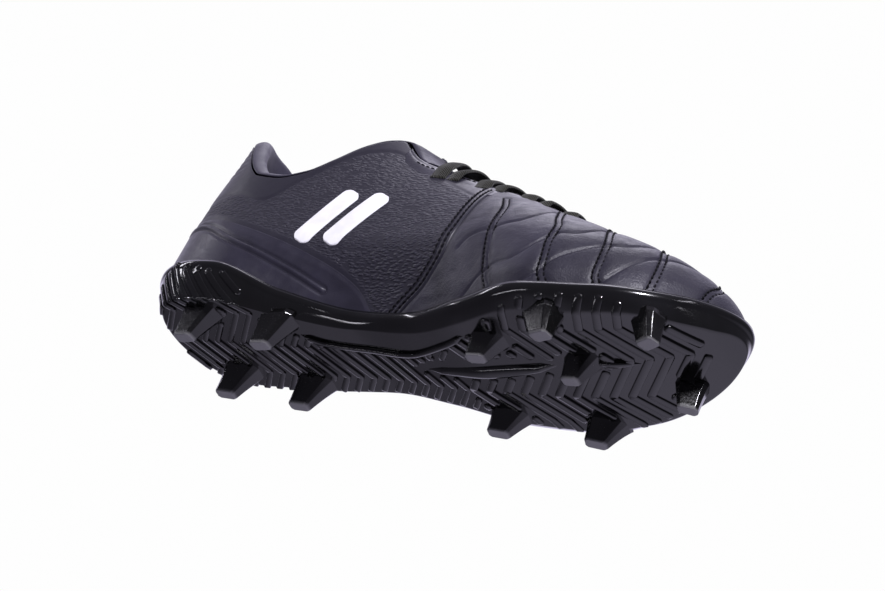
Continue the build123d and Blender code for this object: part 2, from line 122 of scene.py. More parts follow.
# name: (tip x, tip y, tip z, tip length, tip width, lean of the base in x, turn in degrees)
STUDS = {
    "stud_heel_inner_rear": (33, -21, 0, 9, 6, 5, -8),
    "stud_heel_outer_rear": (30, 20, 0, 9, 6, 5, 8),
    "stud_heel_inner_front": (70, -18, 0, 9, 6, 5, -6),
    "stud_heel_outer_front": (65, 25.5, 0, 9, 6, 5, 6),
    "stud_arch_inner": (171, -17, 0, 8, 6, 4, 0),
    "stud_arch_outer": (157, 35.5, 0, 9, 6, 4, 10),
    "stud_ball_inner": (207, -34, 0, 9, 6, -3, -20),
    "stud_ball_centre": (207, -5, 0, 7, 5.5, 3, 0),
    "stud_ball_outer": (200, 38, 0, 9, 6, 3, 15),
    "stud_toe_inner": (247, -27, 3.5, 9, 6, -4, -30),
    "stud_toe_outer": (247, 15, 3.5, 8, 5.5, -2, 20),
}
STUD_LEVELS = [0.0, 0.02, 0.06, 0.14, 0.3, 0.5, 0.7, 0.86, 1.0]      # rings, as shares of the height
BAND = 3.8                # upright glossy band below the plate's rim
# Border of the tread: x, and distance round the underside from the middle
TREAD = [(10, 0), (12, 22), (20, 34), (36, 37), (60, 33), (110, 29), (148, 34), (190, 44), (222, 38),
         (243, 25), (257, 5), (256, -16), (242, -34), (222, -43), (194, -43), (168, -23), (130, -1),
         (90, -4), (64, -22), (57, -40), (40, -46), (24, -45), (14, -32), (11, -12)]
RIB_DEPTH = 0.95
BEAD = [(80, -9.5), (90, -4), (110, -1), (130, -1.5), (150, -11), (163, -19)]
SPINE_BACK = 130.0
SPINE_LENGTH = 70.0
SPINE_CREST = [(124, 10.5), (145, 8.8), (165, 6.9), (185, 7.0), (203, 8)]
SPINE_CLEAR = (165, 2.5, 37, 6.5, -9)       # smooth ellipse round it: x, y, half length, half width, turn
# Tread zones: x where the zone starts and stops, pitch, rib width, zigzag as (x, distance round) corners
ZIGZAGS = [
    (0, 150, 6.6, 3.2, [(7, -54), (-3, -43), (16, -23), (0, -2), (9, 19), (-6, 40)]),
    (150, 262, 7.8, 3.8, [(6, -46), (0, -25), (13, -5), (-3, 18), (10, 36), (14, 50)]),
]
LACE_ROWS = [117, 128, 139, 150, 161, 172, 182]
LACE_WIDTH = 7.0
MARK_CENTRES = (82.0, 96.0)
MARK_Z = 59.0
MARK_HALF = 16.0
MARK_HALF_WIDTH = 4.5
MARK_LEAN = 62.0          # degrees from the ground
TAB_RIPPLE = 3.9          # pitch of the moulded ripple on the heel tab

# Lines on the upper, as (x of the outline point below, elevation in degrees of the ray)
QUILTING = [
    [(162, 66), (167, 55), (169, 37), (173, 19), (176, 8), (181, -4)],
    [(194, 67), (197, 55), (199, 45), (201, 37), (201, 24), (202, 14), (203, 5), (206, -1)],
    [(232, 90), (226, 75), (223, 60), (223, 45), (224, 30), (224, 18), (224, 8), (226, 3)],
    [(265, 90), (255, 75), (250, 60), (247, 45), (246, 32), (245, 18), (244, 5)],
    [(270, 51), (268, 44), (266, 35), (262, 24), (260, 14)],
]
GROOVES = [
    [(196, 64), (185, 44), (174, 39), (160, 35), (155, 31)],
    [(244, 90), (228, 62), (213, 36), (202, 30), (196, 22), (187, 14), (174, 12), (162, -5)],
    [(270, 84), (252, 60), (234, 34), (225, 29), (217, 23), (207, 14), (201, 5), (194, -2)],
    [(270, 58), (256, 43), (246, 33), (238, 22), (232, 12), (226, 2)],
]
# Side views of lines on the quarters
TEXTURE_TOP = [(0, 68), (32, 69), (48, 65), (61, 77), (84, 97), (95, 100), (111, 93), (130, 82), (150, 71)]
PIPING = [(-8, 54), (19, 53), (43, 43), (61, 37), (76, 32), (90, 27)]
QUILT_GAP = 1.2           # each quilting row is two lines of stitches, this far off its middle
# Stitches: pitch, length, thickness
SEAM_THREAD = (2.6, 2.1, 0.95)
QUILT_THREAD = (2.3, 1.8, 0.9)
EYESTAY_THREAD = (2.8, 2.1, 0.65)

toe_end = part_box("plate_toe")[1][0] * 1000
flap_low, flap_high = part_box("tongue_flap")
MIDDLE = np.array([LENGTH - toe_end, SLOT_CENTRE - (flap_low[1] + flap_high[1]) * 500, 0.0])


# ---------------------------------------------------------------- small mathematics
def curve(table):
    """Smooth function through a table of (x, value) rows, with no overshoot between rows."""
    xs, ys = np.array(table, float).T
    gaps = np.diff(ys) / np.diff(xs)
    same = gaps[:-1] * gaps[1:] > 0
    total = np.where(same, gaps[:-1] + gaps[1:], 1.0)
    middle = np.where(same, 2 * gaps[:-1] * gaps[1:] / total, 0.0)
    slopes = np.concatenate([gaps[:1], middle, gaps[-1:]])

    def value(x):
        x = np.clip(x, xs[0], xs[-1])
        row = np.clip(np.searchsorted(xs, x, side="right") - 1, 0, len(xs) - 2)
        step = xs[row + 1] - xs[row]
        t = (x - xs[row]) / step
        return (
            (1 + 2 * t) * (1 - t) ** 2 * ys[row]
            + t * (1 - t) ** 2 * step * slopes[row]
            + t * t * (3 - 2 * t) * ys[row + 1]
            - t * t * (1 - t) * step * slopes[row + 1]
        )

    return value


def smooth_line(points, count, closed=False):
    """Points along a Catmull-Rom curve through control points, evenly spread."""
    p = np.array(points, float)
    if closed:
        p = np.concatenate([p[-1:], p, p[:2]])
    else:
        p = np.concatenate([2 * p[:1] - p[1:2], p, 2 * p[-1:] - p[-2:-1]])
    t = np.linspace(0, len(p) - 3, 40 * len(p))
    i = np.minimum(t.astype(int), len(p) - 4)
    f = (t - i)[:, None]
    a, b, c, d = p[i], p[i + 1], p[i + 2], p[i + 3]
    q = 0.5 * (2 * b + (c - a) * f + (2 * a - 5 * b + 4 * c - d) * f**2 + (3 * b - a - 3 * c + d) * f**3)
    run = lengths(q)
    at = np.linspace(0, run[-1], count)
    return np.stack([np.interp(at, run, q[:, k]) for k in range(q.shape[1])], -1)


def lengths(points, axis=0):
    """Running length along a grid's axis, from 0."""
    steps = np.linalg.norm(np.diff(points, axis=axis), axis=-1)
    start = np.zeros_like(np.take(steps, [0], axis=axis))
    return np.concatenate([start, np.cumsum(steps, axis=axis)], axis=axis)


def ease(t):
    """0 to 1 with level ends."""
    t = np.clip(t, 0, 1)
    return t * t * (3 - 2 * t)


def unit(v):
    """Vectors scaled to length 1."""
    return v / np.maximum(np.linalg.norm(v, axis=-1, keepdims=True), 1e-9)


def turned(x, y, degrees):
    """Plan coordinates in axes turned by an angle."""
    c, s = math.cos(math.radians(degrees)), math.sin(math.radians(degrees))
    return x * c + y * s, y * c - x * s


def crossing(low, high, past, steps=22):
    """Halves intervals until each closes on the place where a test turns true."""
    for _ in range(steps):
        middle = (low + high) / 2
        beyond = past(middle)
        low, high = np.where(beyond, low, middle), np.where(beyond, middle, high)
    return low, high


def thin(skin, thick):
    """A grid of points pushed back along its normals, to close a thin skin."""
    return skin - thick * unit(np.cross(np.gradient(skin, axis=0), np.gradient(skin, axis=1)))


def nearest(points, line):
    """Distance from each point to the nearest point of a dense line."""
    flat = points.reshape(-1, 3)
    best = np.full(len(flat), 1e9)
    near = np.all((flat > line.min(0) - 6) & (flat < line.max(0) + 6), axis=1)
    chosen = np.nonzero(near)[0]
    for part in np.array_split(chosen, max(1, len(chosen) // 8000)):
        gap = flat[part, None, :] - line[None]
        best[part] = np.sqrt((gap**2).sum(-1).min(1))
    return best.reshape(points.shape[:-1])


def inside_outline(x, y, outline):
    """Even-odd test of points against a closed outline in plan."""
    hit = np.zeros(np.shape(x), bool)
    for (ax, ay), (bx, by) in zip(outline, np.roll(outline, -1, axis=0)):
        crosses = (ay > y) != (by > y)
        rise = by - ay if by != ay else 1e-9
        hit ^= crosses & (x < (bx - ax) * (y - ay) / rise + ax)
    return hit


# ---------------------------------------------------------------- the two forms
sole_half = {side: curve(table) for side, table in SOLE_HALF.items()}
body_half = {side: curve(table) for side, table in BODY_HALF.items()}
ridge, heel_back, bowl = curve(RIDGE), curve(HEEL_BACK), curve(BOWL)
sole_bottom, rim_top, collar = curve(SOLE_BOTTOM), curve(RIM_TOP), curve(COLLAR)
padding, heel_wrap_top, seam_x = curve(PADDING), curve(HEEL_WRAP), curve(SEAM)
texture_top = curve(TEXTURE_TOP)
slot_half = curve(SLOT_HALF)


def rounded_ends(x, back, front):
    """Factor on a half width that closes it round the heel and the toe."""
    heel = np.clip((36 - x) / (36 - back), 0, 1)
    toe = np.clip((x - 222) / (front - 222), 0, 1)
    return (1 - heel**2.3) ** (1 / 2.3) * (1 - toe**2.1) ** 0.5


def upper_half(side, x, z, inset):
    """Half width of the upper's form, drawn in by an inset; 0 outside it."""
    pull = bowl(z) + inset
    back = pull + heel_back(z) + np.where(z <= 30, WALL * (1 - np.clip((z - 14) / 16, 0, 1)), 0)
    rise = ease((z - 18) / 32)
    wide = (sole_half[side](x) - WALL) * (1 - rise) + body_half[side](x) * rise - pull
    top = ridge(x) - inset
    climb = np.clip((z - 18) / (top - 18), 0, 1)
    half = np.maximum(0.3, wide) * rounded_ends(x, back, LENGTH - inset) * (1 - climb**2.4) ** 0.5
    return np.where((x > back) & (x < LENGTH - WALL - pull) & (z < top), half, 0.0)


def sole_pull(x, z):
    """How far the sole's wall is drawn in: a rounded upright band, then a slope to the underside."""
    drop = rim_top(x) - z
    top, low = 0.5 * bowl(rim_top(x)), bowl(sole_bottom(x))
    slope = np.clip((drop - BAND) / (rim_top(x) - sole_bottom(x) - BAND), 0, 1) ** 1.3
    swell = 0.8 * (1 - np.abs(np.clip(2 * drop / BAND - 1, -1, 1)) ** 3)
    return top + (low - top) * slope - swell


def sole_width(side, x, z, inset):
    """Half width of the sole's form at a height; 0 outside it."""
    pull = sole_pull(x, z) + inset
    back = pull + heel_back(np.minimum(z, 40)) - heel_back(40.0)
    front = LENGTH - pull
    half = (sole_half[side](x) - pull) * rounded_ends(x, back, front)
    return np.where((x > back) & (x < front) & (z > sole_bottom(x) + inset), half, 0.0)


def make_outline(side):
    """Outline 40 mm up, as running share from heel to toe, x and y."""
    turn = np.linspace(0, np.pi, 3000)
    x = LENGTH * (1 - np.cos(turn)) / 2
    y = side * sole_half[side](x) * rounded_ends(x, 0.0, LENGTH)
    run = lengths(np.stack([x, y], -1))
    return run / run[-1], x, y


OUTLINE = {side: make_outline(side) for side in (INNER, OUTER)}


def ray_start(x):
    """Where a ray towards an outline point starts on the middle line."""
    return RAY_BACK + RAY_RUN * x / LENGTH


def cast(side, share, angle, inset=0.0, width=upper_half, start_z=RAY_Z):
    """Where rays leave a form.  A ray rises at an angle from the middle line towards the outline."""
    shares, xs, ys = OUTLINE[side]
    share, angle, inset, start_z = np.broadcast_arrays(share, angle, inset, start_z)
    px, py = np.interp(share, shares, xs), np.interp(share, shares, ys)
    start = np.stack([ray_start(px), 0 * px, start_z], -1)
    way = unit(np.stack([px - start[..., 0], py + side * 1e-3, 0 * px], -1)) * np.cos(angle)[..., None]
    way[..., 2] = np.sin(angle)

    def outside(run):
        p = start + way * run[..., None]
        return np.abs(p[..., 1]) >= width(side, p[..., 0], p[..., 2], inset)

    near, _ = crossing(np.zeros(share.shape), np.full(share.shape, RAY_REACH), outside, 24)
    return start + way * near[..., None]


def is_open(p):
    """True where the collar's mouth or the throat's slot leaves the upper open."""
    x, y, z = p[..., 0], p[..., 1], p[..., 2]
    mouth = (x < MOUTH_FRONT) & (z > collar(x))
    off = np.abs(y - SLOT_CENTRE)
    tip = slot_half(SLOT_FRONT)
    slot = (x > SLOT_BACK) & (x < SLOT_FRONT) & (off < slot_half(x))
    round_tip = (x >= SLOT_FRONT) & ((x - SLOT_FRONT) ** 2 + off**2 < tip**2)
    return mouth | slot | round_tip


SHARES = np.linspace(0, 1, 260)     # columns of the angle tables


def border_angle(side, test, width, low, high):
    """Angle at which each column's ray first lands where a test is true."""
    def past(angle):
        return test(cast(side, SHARES, angle, 0.0, width))

    below, above = crossing(np.full(len(SHARES), low), np.full(len(SHARES), high), past)
    return (below + above) / 2


def even_rows(side, low, high, width):
    """Ray angles at equal steps along each column, between two borders."""
    fine = low[:, None] + (high - low)[:, None] * np.linspace(0, 1, 90)
    run = lengths(cast(side, SHARES[:, None], fine, 0.0, width), axis=1)
    t = np.linspace(0, 1, 80)
    return np.array([np.interp(t * r[-1], r, f) for r, f in zip(run, fine)])


def lookup(table, share, t):
    """Two-way linear interpolation of an angle table."""
    u = np.clip(share, 0, 1) * (table.shape[0] - 1)
    v = np.clip(t, 0, 1) * (table.shape[1] - 1)
    i = np.minimum(u.astype(int), table.shape[0] - 2)
    j = np.minimum(v.astype(int), table.shape[1] - 2)
    f, g = u - i, v - j
    low = table[i, j] * (1 - g) + table[i, j + 1] * g
    high = table[i + 1, j] * (1 - g) + table[i + 1, j + 1] * g
    return low * (1 - f) + high * f


def above_rim(drop):
    """A test for points above a line this far below the plate's rim."""
    return lambda p: p[..., 2] > rim_top(p[..., 0]) - drop


UPPER, SOLE = {}, {}
for side in (INNER, OUTER):
    tuck = border_angle(side, above_rim(RIM_TUCK), upper_half, -1.3, np.pi / 2)
    opening = border_angle(side, is_open, upper_half, -1.3, np.pi / 2)
    UPPER[side] = even_rows(side, tuck, opening, upper_half)
    rim = border_angle(side, above_rim(0.0), sole_width, -np.pi / 2, 0.9)
    SOLE[side] = even_rows(side, np.full(len(rim), -np.pi / 2), rim, sole_width)


def upper_point(side, share, t, inset=0.0):
    """Point of the upper at a share of the outline and a share of the way up."""
    return cast(side, share, lookup(UPPER[side], share, t), inset)


def layers(side, share, t, *insets):
    """The same patch of the upper at several insets."""
    return [upper_point(side, share, t, inset) for inset in insets]


def outline_share(side, x):
    """Share of the outline's run at an x."""
    shares, xs, _ = OUTLINE[side]
    return np.interp(x, xs, shares)


def upper_line(side, points, inset):
    """A dense line on the upper through (outline x, elevation) points."""
    line = smooth_line(points, 240)
    return cast(side, outline_share(side, line[:, 0]), np.radians(line[:, 1]), inset)


def flank_line(side, points, inset):
    """A dense line on the upper's side through side-view points."""
    line = smooth_line(points, 200)
    return on_flank(side, line[:, 0], line[:, 1], inset)


def either(width, v, x, z, inset):
    """Half width of a form on the side that a number's sign says."""
    return np.where(v > 0, width(OUTER, x, z, inset), width(INNER, x, z, inset))


def roof(x, y, inset=0.0):
    """Height of the upper's form over a plan point."""
    x, y, inset = np.broadcast_arrays(x, y, inset)

    def outside(z):
        return np.abs(y) >= either(upper_half, y, x, z, inset)

    low, _ = crossing(np.full(x.shape, 45.0), ridge(x) - inset, outside, 24)
    return low


def on_roof(x, y, inset):
    """Points of the upper's form over plan points."""
    return np.stack([x, y, roof(x, y, inset)], -1)


def on_flank(side, x, z, inset):
    """Points of the upper's form beside side-view points."""
    return np.stack([x, side * upper_half(side, x, z, inset), z], -1)


def both_sides(inner, outer):
    """One grid from the inner side's columns and then the outer side's, from the last to the first."""
    return np.concatenate([inner, outer[-2::-1]])


# ---------------------------------------------------------------- mesh helpers
def metres(points):
    """Points in the row frame."""
    return (np.asarray(points, float) - MIDDLE) / 1000


def mesh_object(name, points, faces, fields=None):
    """Object from boot-millimetre points; fields are named numbers, one per point."""
    mesh = bpy.data.meshes.new(name)
    mesh.from_pydata(metres(points).tolist(), [], faces if isinstance(faces, list) else faces.tolist())
    mesh.polygons.foreach_set("use_smooth", [True] * len(mesh.polygons))
    for field, values in (fields or {}).items():
        layer = mesh.attributes.new(field, "FLOAT", "POINT")
        layer.data.foreach_set("value", np.asarray(values, np.float32).ravel())
    mesh.validate()
    piece = bpy.data.objects.new(name, mesh)
    bpy.context.scene.collection.objects.link(piece)
    return piece


def grid_faces(rows, columns, start=0, flip=False):
    """Quads of a grid of points stored row by row."""
    a = (np.arange(rows - 1)[:, None] * columns + np.arange(columns - 1)).ravel() + start
    b = a + columns
    quads = np.stack([a, b, b + 1, a + 1], -1)
    return quads[:, ::-1] if flip else quads


def shell_mesh(name, outer, inner, fields=None, flip=False):
    """Closed solid between two grids of the same size."""
    rows, columns = outer.shape[:2]
    count = rows * columns
    index = np.arange(count).reshape(rows, columns)
    edge = np.concatenate([index[0], index[1:, -1], index[-1, -2::-1], index[-2:0:-1, 0]])
    following = np.roll(edge, -1)
    sides = np.stack([edge, edge + count, following + count, following], -1)
    faces = np.concatenate([
        grid_faces(rows, columns, flip=flip),
        grid_faces(rows, columns, count, flip=not flip),
        sides if flip else sides[:, ::-1],
    ])
    points = np.concatenate([outer.reshape(-1, 3), inner.reshape(-1, 3)])
    doubled = {k: np.concatenate([v.ravel(), v.ravel()]) for k, v in (fields or {}).items()}
    return mesh_object(name, points, faces, doubled)


def weld(piece, gap=0.03):
    """Joins points that lie together, such as where two sides meet."""
    work = bmesh.new()
    work.from_mesh(piece.data)
    bmesh.ops.remove_doubles(work, verts=work.verts, dist=gap / 1000)
    bmesh.ops.recalc_face_normals(work, faces=work.faces)
    work.to_mesh(piece.data)
    work.free()


def tube(rings):
    """Points and faces of a bar through closed rings of points."""
    around = len(rings[0])
    ring = np.arange(around)
    start = np.arange(len(rings) - 1)[:, None] * around
    here, beside_it = start + ring, start + np.roll(ring, -1)
    quads = np.stack([here, beside_it, beside_it + around, here + around], -1).reshape(-1, 4)
    ends = [ring[::-1].tolist(), (ring + (len(rings) - 1) * around).tolist()]
    return np.concatenate(rings), quads.tolist() + ends


def sweep(path, across, up, profile, taper=None):
    """Points and faces of a bar: a closed profile of (across, up) carried along a path."""
    taper = np.ones(len(path)) if taper is None else taper
    size = taper[:, None, None] * np.array(profile, float)
    return tube(path[:, None] + across[:, None] * size[..., :1] + up[:, None] * size[..., 1:])


def merge(parts):
    """Joins lists of points and faces."""
    points, faces, start = [], [], 0
    for p, f in parts:
        points.append(p)
        faces += [[k + start for k in face] for face in f]
        start += len(p)
    return np.concatenate(points), faces


def point_at(line, run, at):
    """Point of a line at a running length."""
    return np.array([np.interp(at, run, line[:, k]) for k in range(3)])


def stitch_row(line, normals, pitch, long, thick):
    """Small rounded stitches along a line, each sunk a little at its ends."""
    run = lengths(line)
    turns = np.linspace(0, 2 * np.pi, 7)[:-1, None]
    # along the stitch, size and lift of each ring, as shares of its length and thickness
    sections = [(-0.5, 0.25, -0.3), (-0.38, 0.8, -0.05), (0, 1, 0.12), (0.38, 0.8, -0.05), (0.5, 0.25, -0.3)]
    stitches = []
    for at in np.arange(pitch / 2, run[-1], pitch):
        centre = point_at(line, run, at)
        up = unit(point_at(normals, run, at))
        along = unit(point_at(line, run, at + long / 2) - point_at(line, run, at - long / 2))
        across = np.cross(up, along)
        stitches.append(tube([
            centre + along * long * s + up * thick * (lift + np.sin(turns) * size / 2)
            + across * thick * np.cos(turns) * size / 2
            for s, size, lift in sections
        ]))
    return stitches


def beside(line, gap):
    """A line moved sideways along the upper by a gap, with its normals."""
    along = unit(np.gradient(line, axis=0))
    centre = np.stack([ray_start(line[:, 0]), 0 * line[:, 0], RAY_Z + 0 * line[:, 0]], -1)
    rough = unit(line - centre)
    normals = unit(rough - along * (rough * along).sum(-1, keepdims=True))
    return line + np.cross(normals, along) * gap, normals


# ---------------------------------------------------------------- materials
class Tree:
    """A node tree being built, with short calls for its nodes."""

    def __init__(self, owner):
        owner.use_nodes = True
        self.nodes = owner.node_tree.nodes
        self.links = owner.node_tree.links

    def node(self, kind, settings=None, **inputs):
        """A node with inputs by name, or by number as _0, _1; each is a value or a socket."""
        made = self.nodes.new(kind)
        for key, value in (settings or {}).items():
            setattr(made, key, value)
        for key, value in inputs.items():
            named = key.replace("_", " ").title()
            socket = made.inputs[int(key[1:]) if key[0] == "_" else named]
            if isinstance(value, bpy.types.NodeSocket):
                self.links.new(value, socket)
            else:
                socket.default_value = value
        return made

    def maths(self, operation, a, b=0.0):
        """Result of one operation on one or two numbers or sockets."""
        return self.node("ShaderNodeMath", {"operation": operation}, _0=a, _1=b).outputs[0]


class Look(Tree):
    """A procedural material."""

    def __init__(self, name, colour, roughness, **sockets):
        self.material = bpy.data.materials.new(name)
        super().__init__(self.material)
        self.shader = self.nodes["Principled BSDF"]
        self.shader.inputs["Base Color"].default_value = (*colour, 1)
        self.shader.inputs["Roughness"].default_value = roughness
        for socket, value in sockets.items():
            self.shader.inputs[socket.replace("_", " ").title().replace("Ior", "IOR")].default_value = value
        self.place = self.nodes.new("ShaderNodeTexCoord").outputs["Object"]

    def scaled(self, x, y, z):
        """Object coordinates in metres, times a number for each axis."""
        return self.node("ShaderNodeMapping", vector=self.place, scale=(x, y, z)).outputs[0]

    def noise(self, scale, detail=2.0, where=None):
        """Soft noise, 0 to 1."""
        return self.node("ShaderNodeTexNoise", vector=where or self.place, scale=scale,
                         detail=detail).outputs["Fac"]

    def cells(self, scale, where=None, feature="F1"):
        """Distance in a pattern of cells."""
        return self.node("ShaderNodeTexVoronoi", {"feature": feature}, vector=where or self.place,
                         scale=scale).outputs["Distance"]

    def field(self, name):
        """A number stored on the mesh's points."""
        return self.node("ShaderNodeAttribute", {"attribute_name": name}).outputs["Fac"]

    def colour(self, factor, low, high, start, end):
        """Base colour from low to high as a factor goes from start to end."""
        made = self.node("ShaderNodeValToRGB", fac=factor)
        made.color_ramp.elements[0].position = start
        made.color_ramp.elements[0].color = (*low, 1)
        made.color_ramp.elements[1].position = end
        made.color_ramp.elements[1].color = (*high, 1)
        self.links.new(made.outputs["Color"], self.shader.inputs["Base Color"])

    def remap(self, value, low, high, start=0.0, end=1.0):
        """Number from low to high as a value goes from start to end."""
        return self.node("ShaderNodeMapRange", value=value, _1=start, _2=end, _3=low, _4=high).outputs[0]

    def roughness(self, socket):
        """Links the roughness."""
        self.links.new(socket, self.shader.inputs["Roughness"])

    def bump(self, *reliefs):
        """Stacks reliefs, each a height socket and a depth in mm."""
        normal = None
        for height, depth in reliefs:
            made = self.node("ShaderNodeBump", height=height, distance=depth / 1000, strength=1.0)
            if normal is not None:
                self.links.new(normal, made.inputs["Normal"])
            normal = made.outputs[0]
        self.links.new(normal, self.shader.inputs["Normal"])


def grey(level, tint=(0.0, 0.0, 0.0)):
    """Neutral colour, each channel raised by a share."""
    return tuple(level * (1 + t) for t in tint)


COOL = (0.02, -0.06, 0.5)


def leather_look():
    """Soft matt leather: fine grain, faint creases and slightly uneven colour."""
    look = Look("vamp leather", grey(0.045, COOL), 0.5, specular_ior_level=0.45, sheen_weight=0.05,
                sheen_roughness=0.4)
    grain = look.cells(1500.0)
    creases = look.noise(1.0, 5.0, look.scaled(160, 70, 260))
    blotches = look.noise(60.0, 4.0)
    look.colour(blotches, grey(0.017, COOL), grey(0.027, COOL), 0.35, 0.7)
    look.roughness(look.remap(look.noise(220.0, 3.0), 0.42, 0.56, 0.3, 0.7))
    look.bump((creases, 0.35), (grain, 0.07), (look.noise(2600.0, 2.0), 0.03))
    return look.material


def quarter_look():
    """Coated synthetic: short pebbled dashes inside the textured panel, plain satin skin outside it."""
    look = Look("quarter skin", grey(0.026, COOL), 0.45, specular_ior_level=0.5)
    inside = look.field("pebble")
    wave = look.noise(240.0, 2.0)
    warp = look.node("ShaderNodeCombineXYZ", _0=wave, _2=wave).outputs[0]
    where = look.node("ShaderNodeVectorMath", {"operation": "MULTIPLY_ADD"}, _0=warp,
                      _1=(0.5, 0.0, 1.4), _2=look.scaled(430, 430, 1050)).outputs[0]
    dashes = look.cells(1.0, where)
    relief = look.maths("MULTIPLY", look.remap(dashes, 1.0, 0.0, 0.18, 0.62), inside)
    look.colour(relief, grey(0.017, COOL), grey(0.024, COOL), 0.0, 0.9)
    skin = look.remap(look.noise(500.0, 3.0), 0.38, 0.48, 0.3, 0.7)
    look.roughness(look.maths("ADD", skin, look.maths("MULTIPLY", inside, 0.1)))
    look.bump((relief, 0.33), (look.noise(1800.0, 3.0), 0.03))
    return look.material


def overlay_look(name, level, roughness):
    """Smooth coated overlay with a fine skin grain."""
    look = Look(name, grey(level, COOL), roughness, specular_ior_level=0.5)
    look.colour(look.noise(90.0, 4.0), grey(level * 0.85, COOL), grey(level * 1.2, COOL), 0.3, 0.7)
    look.roughness(look.remap(look.noise(300.0, 3.0), roughness - 0.05, roughness + 0.07, 0.3, 0.7))
    look.bump((look.cells(2100.0), 0.03), (look.noise(900.0, 4.0), 0.04))
    return look.material


def backstay_look():
    """Overlay moulded in fine level ribs."""
    look = Look("ribbed backstay", grey(0.026, COOL), 0.42, specular_ior_level=0.5)
    ribs = look.node("ShaderNodeTexWave", {"wave_type": "BANDS", "bands_direction": "Z"},
                     vector=look.place, scale=120.0, distortion=0.3).outputs["Fac"]
    look.colour(ribs, grey(0.018, COOL), grey(0.031, COOL), 0.1, 0.9)
    look.bump((ribs, 0.5), (look.noise(1500.0, 3.0), 0.03))
    return look.material


def plate_look():
    """Glossy moulded plastic: flow ripple, hairline scuffs and a little dust in the roughness."""
    look = Look("gloss plate", grey(0.0045, (0.0, -0.05, 0.1)), 0.16, specular_ior_level=0.55,
                coat_weight=0.25, coat_roughness=0.08)
    scuffs = look.cells(1.0, look.scaled(120, 900, 500), "DISTANCE_TO_EDGE")
    scratch = look.remap(scuffs, 1.0, 0.0, 0.0, 0.012)
    haze = look.noise(45.0, 5.0)
    rough = look.maths("ADD", look.remap(haze, 0.09, 0.17, 0.35, 0.7), look.maths("MULTIPLY", scratch, 0.1))
    look.roughness(rough)
    look.colour(haze, grey(0.0035), grey(0.0075, (0, 0, 0.15)), 0.3, 0.75)
    look.bump((look.noise(70.0, 2.0), 0.08), (look.noise(900.0, 3.0), 0.012))
    return look.material


def stud_look():
    """The plate's plastic, scuffed dull on the flat tips."""
    look = Look("stud plastic", grey(0.004), 0.18, specular_ior_level=0.55, coat_weight=0.25,
                coat_roughness=0.08)
    worn = look.field("worn")
    look.colour(worn, grey(0.004), grey(0.22), 0.3, 1.0)
    grit = look.remap(look.noise(1400.0, 4.0), 0.0, 0.15, 0.35, 0.7)
    look.roughness(look.maths("ADD", look.remap(worn, 0.13, 0.45), grit))
    look.bump((look.noise(110.0, 2.0), 0.03), (look.maths("MULTIPLY", look.noise(1600.0, 4.0), worn), 0.08))
    return look.material


def fabric_look(name, level, scale, tint=(0.0, 0.0, 0.0), roughness=0.85, depth=0.25, sheen=0.2):
    """Knitted or woven cloth: two crossed bands of yarn."""
    look = Look(name, grey(level, tint), roughness, sheen_weight=sheen, sheen_roughness=0.5,
                specular_ior_level=0.2)
    bands = [
        look.node("ShaderNodeTexWave", {"bands_direction": direction}, vector=look.place, scale=scale,
                  distortion=1.5, detail=1.0).outputs["Fac"]
        for direction in "XZ"
    ]
    yarn = look.maths("MULTIPLY", *bands)
    look.colour(yarn, grey(level * 0.6, tint), grey(level * 1.35, tint), 0.1, 0.8)
    look.bump((yarn, depth), (look.noise(1800.0, 3.0), 0.05))
    return look.material


def braid_look():
    """Flat braided lace: slanted yarns crossing in a herringbone about the middle."""
    tint = (0.05, 0.04, -0.2)
    look = Look("lace braid", grey(0.05, tint), 0.85, sheen_weight=0.1, sheen_roughness=0.4,
                specular_ior_level=0.25)
    fold = look.maths("ABSOLUTE", look.field("across"))
    slant = look.maths("ADD", look.field("along"), look.maths("MULTIPLY", fold, 0.9))
    yarn = look.maths("SINE", look.maths("MULTIPLY", slant, 2 * math.pi / 1.1))
    strand = look.remap(yarn, 0.0, 1.0, -1.0, 1.0)
    look.colour(strand, grey(0.010, (0.04, 0.03, -0.2)), grey(0.04, tint), 0.15, 0.9)
    look.bump((strand, 0.35), (look.noise(2600.0, 2.0), 0.08))
    return look.material


def print_look():
    """White raised print with a faint orange-peel skin and dust."""
    tint = (0.0, 0.0, 0.02)
    look = Look("white print", grey(0.86, tint), 0.38, specular_ior_level=0.4)
    look.colour(look.noise(140.0, 5.0), grey(0.80, tint), grey(0.90, tint), 0.3, 0.6)
    look.bump((look.noise(1300.0, 3.0), 0.03))
    return look.material


def board_look():
    """Pressed fibre board with flecks."""
    look = Look("fibre board", (0.62, 0.58, 0.5), 0.85)
    look.colour(look.noise(900.0, 6.0), (0.45, 0.41, 0.34), (0.7, 0.66, 0.58), 0.3, 0.7)
    look.bump((look.noise(1500.0, 4.0), 0.1))
    return look.material


LOOKS = {
    "plate": plate_look(),
    "stud": stud_look(),
    "vamp_leather": leather_look(),
    "quarter_skin": quarter_look(),
    "overlay": overlay_look("smooth overlay", 0.022, 0.36),
    "collar": overlay_look("collar lining", 0.03, 0.5),
    "backstay": backstay_look(),
    "lining": fabric_look("brushed lining", 0.022, 420.0, COOL),
    "tongue": fabric_look("tongue mesh", 0.022, 300.0, COOL),
    "sockliner": fabric_look("sockliner knit", 0.03, 260.0, COOL),
    "thread": fabric_look("thread", 0.005, 900.0, COOL, 0.7, 0.1, 0.0),
    "lace": braid_look(),
    "print": print_look(),
    "board": board_look(),
}


def dress(piece, look, body=None, replaces=()):
    """Gives a piece its material and its body, and hides the CAD nodes that it replaces.

    A piece with no body of its own has its placement baked into its mesh.
    """
    piece.data.materials.clear()
    piece.data.materials.append(LOOKS[look])
    if body:
        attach(piece, body)
    if replaces:
        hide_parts(*replaces)
    if not body:
        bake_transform(piece)


